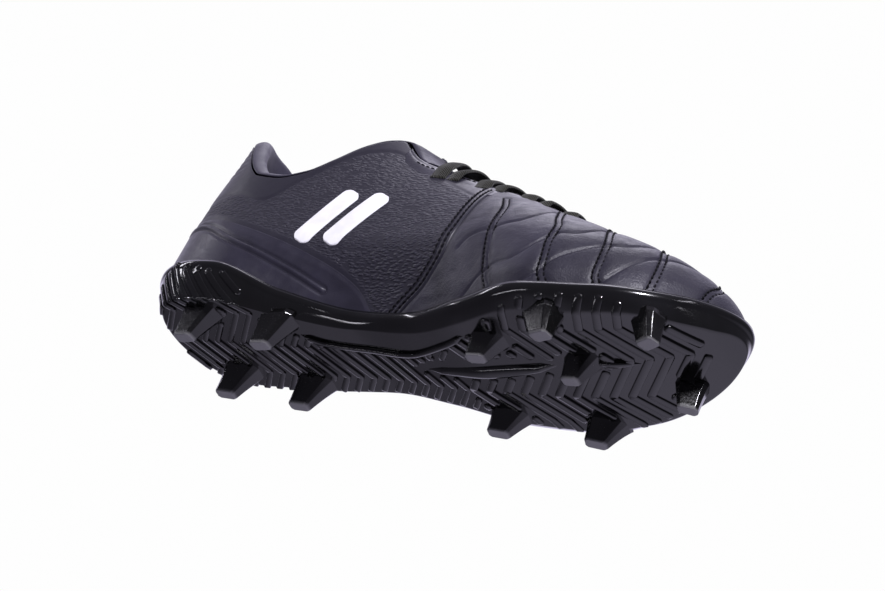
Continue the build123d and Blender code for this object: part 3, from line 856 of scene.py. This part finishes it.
# ---------------------------------------------------------------- panels of the upper
def seam_share(side, rows):
    """Share of the outline where the quarter meets the vamp, for each row."""
    def past_seam(share):
        p = upper_point(side, share, rows)
        return p[:, 0] > seam_x(p[:, 2])

    low, high = crossing(np.zeros(len(rows)), np.ones(len(rows)), past_seam)
    return (low + high) / 2


def rounded_edge(distance, radius=1.1):
    """How far an edge falls away, in mm, at a distance from a border."""
    t = np.clip(1 - distance / radius, 0, 1)
    return radius * (1 - np.sqrt(1 - t * t))


def make_quarter(side, name):
    """Quarter with a pebbled panel, two sunk stitch lines and a ripple on the heel tab."""
    rows = np.linspace(0, 1, int(96 / STEP))
    columns = np.linspace(0, 1, int(172 / STEP))
    share = columns[:, None] * seam_share(side, rows)
    base = upper_point(side, share, rows, OVERLAY)
    up_run = lengths(base, axis=1)
    to_top = up_run[:, -1:] - up_run
    to_seam = lengths(base, axis=0)
    to_seam = to_seam[-1:] - to_seam
    x, z = base[..., 0], base[..., 2]
    below_top = texture_top(x) - z
    above_wrap = z - heel_wrap_top(x) - 1
    pebble = ease(below_top / 1.6) * ease((to_seam - 3.5) / 2) * ease(above_wrap / 1.6)
    border = np.exp(-(below_top / 0.9) ** 2) * (to_seam > 4)
    inset = OVERLAY + rounded_edge(np.minimum(to_top, to_seam)) * 0.8 + 0.3 * border - 0.25 * (1 - pebble)
    for gap in SEAM_STITCHES:
        inset = inset + 0.5 * np.exp(-((to_seam - gap) / 0.7) ** 2)
    on_tab = ease((z - 80) / 6) * ease((29 - x) / 8)
    inset = inset + 0.3 * np.cos(2 * np.pi * z / TAB_RIPPLE) * on_tab
    piece = shell_mesh(name, *layers(side, share, rows, inset, SHELL), {"pebble": pebble}, flip=side == OUTER)
    dress(piece, "quarter_skin", "boot", [name])


def make_vamp():
    """Quilted leather over foam: stitched rows, sewn arcs and a little swelling between them."""
    rows = np.linspace(0, 1, int(88 / STEP))
    grids = []
    for side in (INNER, OUTER):
        start = seam_share(side, rows)
        share = start + np.linspace(0, 1, int(150 / STEP))[:, None] * (1 - start)
        base = upper_point(side, share, rows, OVERLAY)
        gaps = np.stack([nearest(base, upper_line(side, points, OVERLAY)) for points in QUILTING])
        drop = 0.5 * np.exp(-(gaps.min(0) / 2.6) ** 2)
        for gap in gaps:
            drop += 0.4 * np.exp(-((gap - QUILT_GAP) / 0.45) ** 2)
        for points in GROOVES:
            gap = nearest(base, upper_line(side, points, OVERLAY))
            drop += 0.6 * np.exp(-(gap / 0.7) ** 2) + 0.3 * np.exp(-(gap / 3.0) ** 2)
        to_seam = lengths(base, axis=0)
        drop += 0.5 * np.exp(-(to_seam / 1.6) ** 2)
        drop -= 0.35 * ease(to_seam / 12) * ease((base[..., 2] - rim_top(base[..., 0])) / 10)
        grids.append(layers(side, share, rows, OVERLAY + drop, SHELL + 0.3))
    outer, inner = [both_sides(*pair) for pair in zip(*grids)]
    piece = shell_mesh("vamp_skin", outer, inner)
    weld(piece)
    dress(piece, "vamp_leather", None, ["vamp", "vamp_crease", "vamp_toe", "vamp_foam"])


def make_heel_wrap(side, name):
    """Smooth overlay round the heel, with a moulded piping line."""
    columns = np.linspace(0.02, outline_share(side, WRAP_FRONT), int(118 / STEP))

    def past_top(t):
        p = upper_point(side, columns, t)
        return p[:, 2] > np.maximum(heel_wrap_top(p[:, 0]), rim_top(p[:, 0]) - 2)

    _, high = crossing(np.zeros(len(columns)), np.ones(len(columns)), past_top)
    t = np.linspace(0, 1, int(42 / STEP)) * high[:, None]
    share = columns[:, None]
    base = upper_point(side, share, t)
    run = lengths(base, axis=1)
    piping = nearest(base, flank_line(side, PIPING, 0.0))
    to_top = run[:, -1:] - run
    inset = rounded_edge(to_top, 0.6) * 0.4 + 0.5 * ease(1 - to_top / 5)
    inset = inset + 0.7 * np.exp(-((piping - 1.6) / 0.6) ** 2) - 0.35 * np.exp(-(piping / 0.8) ** 2)
    piece = shell_mesh(name, *layers(side, share, t, inset, OVERLAY + 0.4), flip=side == OUTER)
    dress(piece, "overlay", "boot", [name])


def make_backstay():
    """Ribbed strip up the back of the heel, wider towards its top."""
    parts = []
    for side in (INNER, OUTER):
        t = np.linspace(0, 1, int(80 / STEP))
        share = np.linspace(0, BACKSTAY_SHARE, 28)[:, None] * (1 + 0.35 * ease((t - 0.5) / 0.4))
        run = lengths(upper_point(side, share, t), axis=0)
        parts.append(layers(side, share, t, rounded_edge(run[-1:] - run, 0.8) - 0.15, OVERLAY + 0.4))
    outer, inner = [np.concatenate([first[::-1], second[1:]]) for first, second in zip(*parts)]
    piece = shell_mesh("heel_backstay", outer, inner, flip=True)
    dress(piece, "backstay", "boot", ["backstay"])


def make_eyestay(side, name):
    """Band beside the throat, round its front end on each side."""
    ahead = np.linspace(EYESTAY_BACK, SLOT_FRONT, int(86 / STEP))
    spread = np.linspace(0, np.pi / 2, 18)[1:]
    tip = slot_half(SLOT_FRONT)
    bands = []
    width = ease((ahead - 88) / 30)
    for grow in np.linspace(0, EYESTAY_WIDTH, int(15 / STEP)):
        straight = np.stack([ahead, SLOT_CENTRE + side * (slot_half(ahead) + grow * width)], -1)
        arc = np.stack([SLOT_FRONT + (tip + grow) * np.sin(spread),
                        SLOT_CENTRE + side * (tip + grow) * np.cos(spread)], -1)
        bands.append(np.concatenate([straight, arc]))
    plan = np.array(bands)
    x, y = plan[..., 0], plan[..., 1]
    run = lengths(on_roof(x, y, 0.0), axis=0)
    inset = rounded_edge(run, 0.9) * 0.9 + 0.25 * np.exp(-((run - 2.2) / 0.5) ** 2)
    inset = inset + (OVERLAY + 0.15) * ease((run - 3.5) / 5)
    for row in LACE_ROWS:
        hole = np.hypot(x - row, y - SLOT_CENTRE - side * (slot_half(row) + 3.2))
        inset = inset + 0.5 * np.exp(-(hole / 1.6) ** 2)
    piece = shell_mesh(name, on_roof(x, y, inset), on_roof(x, y, OVERLAY + 0.5), flip=side == INNER)
    dress(piece, "overlay", "boot", [name])


def make_mark(side, name):
    """Two slanted rounded bars printed on the quarter."""
    tilt = math.radians(MARK_LEAN)
    u, v = np.meshgrid(np.linspace(-1, 1, 73), np.linspace(-1, 1, 25), indexing="ij")
    along = MARK_HALF * u
    limit = MARK_HALF_WIDTH * (1 - 0.6 * np.clip((np.abs(along) - MARK_HALF + 3) / 3, 0, 1) ** 2)
    across = v * limit
    edge = np.minimum(MARK_HALF - np.abs(along), limit - np.abs(across))
    z = MARK_Z + along * math.sin(tilt) + across * math.cos(tilt)
    for number, centre in enumerate(MARK_CENTRES, start=1):
        x = centre + along * math.cos(tilt) - across * math.sin(tilt)
        outer = on_flank(side, x, z, OVERLAY - 0.55 + rounded_edge(edge, 0.5))
        inner = on_flank(side, x, z, OVERLAY + 0.4)
        piece = shell_mesh(f"{name}_bar_{number}", outer, inner, flip=side == INNER)
        dress(piece, "print", "boot", [name])


def make_stitching():
    """Thread along the seams: quarter edge, quilting of the vamp, eyestays."""
    rear, front = [], []
    rows = np.linspace(0.04, 0.99, 200)
    for side in (INNER, OUTER):
        seam = seam_share(side, rows)
        for back_off in SEAM_STITCHES:
            edge = upper_point(side, seam - back_off / OUTLINE_RUN, rows, OVERLAY - 0.02)
            _, normals = beside(edge, 0.0)
            rear += stitch_row(edge, normals, *SEAM_THREAD)
        for points in QUILTING:
            centre = upper_line(side, points, OVERLAY + 0.18)
            for gap in (-QUILT_GAP, QUILT_GAP):
                line, normals = beside(centre, gap)
                front += stitch_row(line, normals, *QUILT_THREAD)
        ahead = np.linspace(104, SLOT_FRONT, 160)
        y = SLOT_CENTRE + side * (slot_half(ahead) + 2.0)
        line = on_roof(ahead, y, -0.02)
        _, normals = beside(line, 0.0)
        rear += stitch_row(line, normals, *EYESTAY_THREAD)
    seams = mesh_object("seam_thread", *merge(rear))
    dress(seams, "thread", "boot")
    quilting = mesh_object("quilting_thread", *merge(front))
    dress(quilting, "thread")


# ---------------------------------------------------------------- inside of the boot
def make_collar():
    """Padded collar: from the shell's top edge over a soft roll and down the inside."""
    rings = []
    for side in (INNER, OUTER):
        share = np.linspace(outline_share(side, PADDING_FRONT), 0, 260)
        crest = upper_point(side, share, 1.0)
        thick = COLLAR_LINING + 1.2 * ease((30 - crest[:, 0]) / 12)
        foot_z = np.minimum(padding(crest[:, 0]) - 1, crest[:, 2] - 4)
        profile = []
        for q in np.linspace(0, 1, 14):                       # over the top edge
            inset = OVERLAY + 0.3 + q * (thick - OVERLAY - 0.3)
            height = crest[:, 2] + 2.4 * math.sin(math.pi * q) ** 0.7 - 0.8
            profile.append(cast(side, share, 0.0, inset, start_z=height))
        for q in np.linspace(0, 1, 46)[1:]:                   # down the inside, puffed
            puff = 2.0 * math.sin(math.pi * min(1.0, q * 1.15)) ** 0.8
            inset = thick + puff - 2.4 * ease((q - 0.8) / 0.2)
            height = crest[:, 2] - 0.8 + (foot_z - crest[:, 2]) * q
            profile.append(cast(side, share, 0.0, inset, start_z=height))
        rings.append(np.stack(profile, 1))
    skin = both_sides(*rings)
    piece = shell_mesh("collar_pad", skin, thin(skin, 0.6), flip=True)
    weld(piece)
    dress(piece, "collar", "boot", ["collar_foam", "collar_lining"])


def make_lining():
    """Brushed lining of the whole upper below the collar."""
    grids = []
    for side in (INNER, OUTER):
        columns = np.linspace(0, 1, 230)
        crest = upper_point(side, columns, 1.0)
        limit = np.where(crest[:, 0] < PADDING_FRONT, padding(crest[:, 0]) + 2, 200.0)[:, None]
        outer, inner = layers(side, columns[:, None], np.linspace(0, 1, 70), LINING - 0.8, LINING)
        over = np.maximum(outer[..., 2] - limit, 0)
        outer[..., 2] -= over
        inner[..., 2] -= over
        grids.append((outer, inner))
    outer, inner = [both_sides(*pair) for pair in zip(*grids)]
    piece = shell_mesh("inner_lining", outer, inner)
    weld(piece)
    dress(piece, "lining", None, ["lining_rear", "lining_vamp", "lining_toe"])


def make_sockliner():
    """Foot bed, cupped a little up the walls."""
    stations = 5 + 257 * (1 - np.cos(np.linspace(0.02, np.pi - 0.02, 220))) / 2
    v = np.linspace(-1, 1, 61)
    x = np.broadcast_to(stations[:, None], (220, 61))
    level = sole_bottom(x) + FLOOR_RISE
    gap = LINING + 0.2
    half = either(upper_half, v, x, level, gap)
    cup = 1.6 * np.abs(v) ** 6
    top = np.stack([x, v * half, level + cup], -1)
    low = np.stack([x, v * half, level - SOCKLINER], -1)
    piece = shell_mesh("foot_bed_liner", top, low, flip=True)
    weld(piece)
    dress(piece, "sockliner", None, ["sockliner_rear", "sockliner_toe"])


def tongue_grid(start, stop, half, rows, columns):
    """Plan grid over the throat and how far each point is from its border."""
    x, v = np.meshgrid(np.linspace(start, stop, rows), np.linspace(-1, 1, columns), indexing="ij")
    wide = half(x)
    y = SLOT_CENTRE + v * wide
    edge = np.minimum(np.minimum(x - start, stop - x), wide * (1 - np.abs(v)))
    return x, y, edge


def make_pad(name, grid, swell, body, node):
    """Padded piece of the tongue on a plan grid; swell is in mm."""
    x, y, _ = grid
    piece = shell_mesh(name, on_roof(x, y, TONGUE - swell), on_roof(x, y, TONGUE + TONGUE_THICK), flip=True)
    dress(piece, "tongue", body, [node])


def make_tongue():
    """Padded tongue under the laces, with two sewn channels, and its free end with a sewn border."""
    grid = tongue_grid(*TONGUE_SPAN, lambda x: slot_half(x) + 5.6, 150, 60)
    _, y, edge = grid
    channel = np.exp(-((np.abs(y - SLOT_CENTRE) - TONGUE_CHANNEL) / 0.9) ** 2)
    make_pad("tongue_pad", grid, 1.1 * ease(edge / 5) - 0.9 * channel - 0.9, "boot", "tongue")
    grid = tongue_grid(*FLAP_SPAN, lambda x: 10 * ease((x - 93) / 7), 50, 50)
    edge = grid[2]
    border = np.exp(-((edge - 2.6) / 0.6) ** 2)
    make_pad("tongue_end_pad", grid, 1.2 * ease(edge / 4) - 0.8 * border - 1.0, "tongue_end", "tongue_flap")


def make_laces():
    """Flat braided crossings that arch over the tongue and turn down into the eyelets."""
    for number, row in enumerate(LACE_ROWS, start=1):
        half = slot_half(row) + 3.6
        tilt = math.radians(8 if number % 2 else -8)
        s = np.linspace(-1, 1, 90)
        y = SLOT_CENTRE - 1 + s * half * math.cos(tilt)
        x = row - s * half * math.sin(tilt)
        arch = 1.3 * (1 - s**2) ** 1.5
        sink = 2.8 * ease((np.abs(s) - 0.82) / 0.16)
        path = np.stack([x, y, roof(x, y, -0.85) + arch - sink], -1)
        along = unit(np.gradient(path, axis=0))
        across = unit(np.cross(along, np.array([0.0, 0.0, 1.0])))
        up = np.cross(across, along)
        turns = np.linspace(0, 2 * np.pi, 33)[:-1]
        wide = np.sign(np.cos(turns)) * np.abs(np.cos(turns)) ** 0.7 * LACE_WIDTH / 2
        high = np.sign(np.sin(turns)) * np.abs(np.sin(turns)) ** 0.8
        points, faces = sweep(path, across, up, np.stack([wide, high], -1))
        fields = {"along": np.repeat(lengths(path), len(wide)), "across": np.tile(wide, len(path))}
        piece = mesh_object(f"lace_strap_{number}", points, faces, fields)
        weld(piece, 0.001)
        dress(piece, "lace", "boot", [f"lace_{number}"])


# ---------------------------------------------------------------- sole
def make_sole_base():
    """Underside, rounded wall and rim, as one skin closed inside the boot."""
    grids = []
    for side in (INNER, OUTER):
        share, t = np.meshgrid(np.linspace(0, 1, 620), np.linspace(0, 1, 120), indexing="ij")
        p = cast(side, share, lookup(SOLE[side], share, t), 0.0, sole_width)
        for _ in range(3):
            p[:, 1:-1] = (p[:, :-2] + 2 * p[:, 1:-1] + p[:, 2:]) / 4
        rim = p[:, -1]
        inner_edge = cast(side, share[:, 0], lookup(SOLE[side], share[:, 0], 1.0), WALL, sole_width)
        inner_edge[:, 2] = rim[:, 2]
        lip = [rim + [0, 0, 0.25], inner_edge + [0, 0, 0.2], inner_edge - [0, 0, 4.0]]
        grids.append(np.concatenate([p, np.stack(lip, 1)], 1))
    skin = both_sides(*grids)
    rows, columns = skin.shape[:2]
    return skin.reshape(-1, 3), grid_faces(rows, columns, flip=True).tolist()


def section_point(x, v):
    """Underside point at x and a signed distance v round the section from the middle."""
    levels = np.linspace(0, 1, 26)
    bottom, top = sole_bottom(x), rim_top(x)
    z = bottom[:, None] + 0.02 + (top - bottom - 0.02)[:, None] * levels**1.5
    y = either(sole_width, v[:, None], x[:, None], z, 0.0)
    line = np.stack([np.zeros_like(y), y, z], -1)
    start = np.stack([0 * x, 0 * x, bottom], -1)[:, None]
    line = np.concatenate([start, line], 1)
    run = lengths(line, axis=1)
    out = [[x_i, np.interp(abs(v_i), r, l[:, 1]) * np.sign(v_i), np.interp(abs(v_i), r, l[:, 2])]
           for x_i, v_i, r, l in zip(x, v, run, line)]
    return np.array(out)


def on_tread(x, y, border):
    """True where ribs run: inside the tread border, clear of the studs and the spine."""
    free = inside_outline(x, y, border)
    for tip_x, tip_y, _, long, wide, lean, turn in STUDS.values():
        along, across = turned(x - tip_x - lean, y - tip_y, turn)
        free &= (np.abs(along) > (long + 8) / 2) | (np.abs(across) > (wide + 6) / 2)
    centre_x, centre_y, half, half_width, turn = SPINE_CLEAR
    along, across = turned(x - centre_x, y - centre_y, turn)
    return free & ((along / half) ** 2 + (across / half_width) ** 2 > 1)


def bar_on_sole(x, v, width, depth, taper=1.2):
    """A rounded raised bar along a path on the underside."""
    p = section_point(x, v)
    d = 0.3
    across_x = section_point(x + d, v) - section_point(x - d, v)
    across_v = section_point(x, v + d) - section_point(x, v - d)
    down = unit(np.cross(across_v, across_x))
    along = unit(np.gradient(p, axis=0))
    side = unit(np.cross(down, along))
    run = lengths(p)
    ends = ease(np.minimum(run, run[-1] - run) / taper + 0.15)
    w = width / 2
    h = depth * (1 - 0.3 * ease((np.abs(v).max() - 30) / 8))
    profile = [(-w, -0.4), (0.3 - w, h * 0.8), (0.6 - w, h), (w - 0.6, h), (w - 0.3, h * 0.8), (w, -0.4)]
    return sweep(p, side, down, profile, ends)


def make_ribs():
    """Zigzag tread ribs, cut where studs, spine or border interrupt them."""
    border = smooth_line(TREAD, 240, closed=True)
    parts = []
    for start, stop, pitch, width, corners in ZIGZAGS:
        for at in np.arange(start - 20, stop + 20, pitch):
            zigzag = np.array(corners, float) + [at, 0]
            run = lengths(zigzag)
            steps = np.arange(0, run[-1], 0.7)
            x, y = np.interp(steps, run, zigzag[:, 0]), np.interp(steps, run, zigzag[:, 1])
            free = on_tread(x, y, border) & (x > start) & (x < stop)
            cuts = np.nonzero(np.diff(free.astype(int)))[0] + 1
            for part in np.split(np.arange(len(x)), cuts):
                if free[part[0]] and len(part) > 5:
                    parts.append(bar_on_sole(x[part], y[part], width, RIB_DEPTH))
    return parts


def make_spine():
    """Spindle along the arch from the waist to the centre stud, and its tip beyond the stud."""
    s = np.linspace(0.0, 1.0, 120)
    x = SPINE_BACK + SPINE_LENGTH * s
    y = 8.2 - 11.5 * s**1.7
    wide = 3.6 * np.sin(np.pi * s) ** 0.75 + 0.05
    crest = curve(SPINE_CREST)(x)
    low = sole_bottom(x)
    turns = np.linspace(0, np.pi, 15)
    points = np.stack([
        x[:, None] + 0 * turns,
        y[:, None] + wide[:, None] * np.cos(turns),
        low[:, None] + 0.6 - (low - crest + 0.6)[:, None] * np.sin(turns) ** 0.9
        * np.minimum(1, np.sin(np.pi * s) * 2.2)[:, None],
    ], -1)
    faces = grid_faces(120, 15, flip=True).tolist()
    tip_x = np.linspace(211, 232, 40)
    tip = bar_on_sole(tip_x, -5 + 0.12 * (tip_x - 211), 3.2, 1.7, 12.0)
    return [(points.reshape(-1, 3), faces), tip]


def make_sole():
    """The whole plate as one piece, with a raised bead along the waist's smooth border strip."""
    bead = bar_on_sole(*smooth_line(BEAD, 160).T, 2.6, 1.5, 6.0)
    piece = mesh_object("stud_plate", *merge([make_sole_base(), *make_ribs(), bead, *make_spine()]))
    dress(piece, "plate", None, ["plate_rear", "plate_toe", "arch_spine"])


def stud_ring(long, wide, centre_x, centre_y, z, turn):
    """Rounded octagon: a rectangle with slanted, softened corners."""
    cut = 0.2 * min(long, wide)
    a, b = long / 2, wide / 2
    corners = np.array([(a, -b + cut), (a, b - cut), (a - cut, b), (-a + cut, b), (-a, b - cut),
                        (-a, -b + cut), (-a + cut, -b), (a - cut, -b)])
    points = []
    for k in range(8):
        before, here, after = corners[k - 1], corners[k], corners[(k + 1) % 8]
        soft = 0.28
        start = here + unit(before - here) * soft
        end = here + unit(after - here) * soft
        points += [start, (start + end) / 4 + here / 2, end]
    x, y = turned(*np.transpose(points), -turn)
    return np.stack([centre_x + x, centre_y + y, np.full(len(x), z)], -1)


def make_stud(name, tip_x, tip_y, tip_z, long, wide, lean, turn, body):
    """Tapered stud, from a slightly hollow scuffed tip up into the plate."""
    base_z = float(sole_bottom(tip_x + lean)) + 2
    rings, worn = [], []
    for level in STUD_LEVELS:
        z = tip_z + (base_z - tip_z) * level
        flare = (9 if tip_z == 0 else 6) * (0.75 * level + 0.25 * level**3)
        edge = 0.9 * (1 - level / 0.06) ** 2 if level < 0.06 else 0.0
        rings.append(stud_ring(long + flare - edge, wide + 0.7 * flare - edge, tip_x + lean * level,
                               tip_y, z, turn))
        worn.append(np.full(len(rings[0]), 1.0 - min(1.0, level / 0.12)))
    middle = rings[0].mean(0)
    hollow = middle + (rings[0] - middle) * 0.7 + [0, 0, 0.12]
    points, faces = tube([hollow] + rings)
    worn.insert(0, np.ones(len(hollow)))
    piece = mesh_object(f"{name}_moulding", points, faces, {"worn": np.concatenate(worn)})
    weld(piece, 0.001)
    weighted = piece.modifiers.new("weighted", "WEIGHTED_NORMAL")
    weighted.weight = 90
    dress(piece, "stud", body, [name])


def dress_hidden_nodes():
    """Materials for the CAD layers that stay inside the boot."""
    for name, look in (("shank", "plate"), ("board_rear", "board"), ("board_toe", "board"),
                       ("toe_puff", "board"), ("heel_counter", "board")):
        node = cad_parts[name]
        node.data.materials.clear()
        node.data.materials.append(LOOKS[look])


# ---------------------------------------------------------------- stage, lights and camera
def one_sided_floor_look():
    """Pale floor that is clear when seen from underneath."""
    look = Look("pale floor", (0.9, 0.9, 0.9), 0.8)
    under = look.node("ShaderNodeNewGeometry").outputs["Backfacing"]
    clear = look.node("ShaderNodeBsdfTransparent").outputs[0]
    mix = look.node("ShaderNodeMixShader", _0=under, _1=look.shader.outputs[0], _2=clear)
    look.links.new(mix.outputs[0], look.nodes["Material Output"].inputs["Surface"])
    look.roughness(look.remap(look.noise(6.0, 3.0), 0.75, 0.85))
    return look.material


def make_stage():
    """Floor just under the studs."""
    mesh = bpy.data.meshes.new("floor")
    size, level = 3.0, -0.0004
    corners = [(-size, -size, level), (size, -size, level), (size, size, level), (-size, size, level)]
    mesh.from_pydata(corners, [], [(0, 1, 2, 3)])
    floor = bpy.data.objects.new("floor", mesh)
    floor.visible_glossy = False
    floor.visible_diffuse = False
    bpy.context.scene.collection.objects.link(floor)
    mesh.materials.append(one_sided_floor_look())


# Broad glows that the boot reflects: direction, cosine where each one starts, strength
GLOWS = [((0.35, 0.50, -0.80), 0.30, 0.65), ((-0.45, 0.65, 0.60), 0.5, 0.9), ((0.0, 0.1, 1.0), 0.5, 0.3)]
AMBIENT = 0.10


def make_world():
    """White to the camera; what the boot reflects is a dark studio with broad soft glows."""
    world = bpy.data.worlds.new("studio")
    bpy.context.scene.world = world
    tree = Tree(world)
    towards = tree.node("ShaderNodeTexCoord").outputs["Generated"]
    total = 0.0
    for centre, start, strength in GLOWS:
        facing = tree.node("ShaderNodeVectorMath", {"operation": "DOT_PRODUCT"}, _0=towards,
                           _1=Vector(centre).normalized()).outputs["Value"]
        glow = tree.node("ShaderNodeMapRange", {"interpolation_type": "SMOOTHSTEP"}, _0=facing, _1=start,
                         _3=AMBIENT / len(GLOWS), _4=strength).outputs[0]
        total = tree.maths("ADD", total, glow)
    seen = tree.node("ShaderNodeLightPath").outputs["Is Camera Ray"]
    strength = tree.node("ShaderNodeMix", _0=seen, _2=total, _3=0.99).outputs[0]
    tint = tree.node("ShaderNodeMix", {"data_type": "RGBA"}, _0=seen, _6=(1.0, 0.94, 1.22, 1),
                     _7=(1.0, 1.0, 1.0, 1)).outputs[2]
    background = tree.nodes["Background"]
    tree.links.new(strength, background.inputs["Strength"])
    tree.links.new(tint, background.inputs["Color"])


def make_light(name, place, aim, size, power):
    """Rectangular lamp that looks at a point."""
    data = bpy.data.lights.new(name, "AREA")
    data.shape = "RECTANGLE"
    data.size, data.size_y = size
    data.energy = power
    data.color = (1.0, 0.98, 1.08)
    light = bpy.data.objects.new(name, data)
    light.location = place
    light.rotation_mode = "QUATERNION"
    light.rotation_quaternion = (Vector(aim) - Vector(place)).to_track_quat("-Z", "Y")
    light.visible_camera = False
    bpy.context.scene.collection.objects.link(light)


AZIMUTH, ELEVATION, ROLL = math.radians(37.5), math.radians(-29.8), math.radians(23.0)
DISTANCE = 0.9            # camera to the boot's middle
SENSOR = 36.0
LENS = 91.68814           # focal length in mm, on that sensor
SHIFT = (-0.0188701, 0.0042938)
LIGHT_DISTANCE = 1.2
BACK = Vector((math.sin(AZIMUTH) * math.cos(ELEVATION), -math.cos(AZIMUTH) * math.cos(ELEVATION),
               math.sin(ELEVATION)))


def make_lights():
    """Soft key from above, and narrow strips that draw the glints on rims, beads and studs."""
    aim = Vector((0, 0, 0.04))
    for name, towards, size, power in (
        ("key", (-0.25, 0.1, 1.0), (0.6, 0.6), 3.0),
        ("fill", (0.55, -0.90, 0.30), (0.14, 0.14), 17.0),
        ("low strip", (-0.50, -0.50, -0.70), (0.9, 0.035), 1.4),
        ("side strip", (-0.88, -0.36, 0.32), (0.04, 0.7), 1.8),
        ("front strip", (0.80, -0.50, 0.30), (0.02, 0.6), 0.5),
    ):
        make_light(name, aim + Vector(towards).normalized() * LIGHT_DISTANCE, aim, size, power)


def make_camera():
    """Camera low on the inner toe side, rolled so that the toe points down to the right."""
    bpy.context.scene.view_settings.view_transform = "Standard"
    across = Vector((math.cos(AZIMUTH), math.sin(AZIMUTH), 0))
    above = BACK.cross(across)
    right = across * math.cos(ROLL) + above * math.sin(ROLL)
    up = above * math.cos(ROLL) - across * math.sin(ROLL)
    data = bpy.data.cameras.new("camera")
    data.sensor_width = SENSOR
    data.lens = LENS
    data.shift_x, data.shift_y = SHIFT
    camera = bpy.data.objects.new("camera", data)
    target = Vector(metres([140.0, 0.0, 40.0]))
    camera.rotation_mode = "QUATERNION"
    camera.rotation_quaternion = Matrix((right, up, BACK)).transposed().to_quaternion()
    camera.location = target + BACK * DISTANCE
    bpy.context.scene.collection.objects.link(camera)
    bpy.context.scene.camera = camera


# ---------------------------------------------------------------- the whole boot
make_sole()
for name, numbers in STUDS.items():
    make_stud(name, *numbers, "forefoot" if "toe" in name else "boot")
make_vamp()
for side, word in ((INNER, "inner"), (OUTER, "outer")):
    make_quarter(side, f"quarter_{word}")
    make_heel_wrap(side, f"heel_wrap_{word}")
    make_eyestay(side, f"eyestay_{word}")
    make_mark(side, f"mark_{word}")
make_backstay()
make_stitching()
make_collar()
make_lining()
make_sockliner()
make_tongue()
make_laces()
dress_hidden_nodes()
make_stage()
make_world()
make_lights()
make_camera()
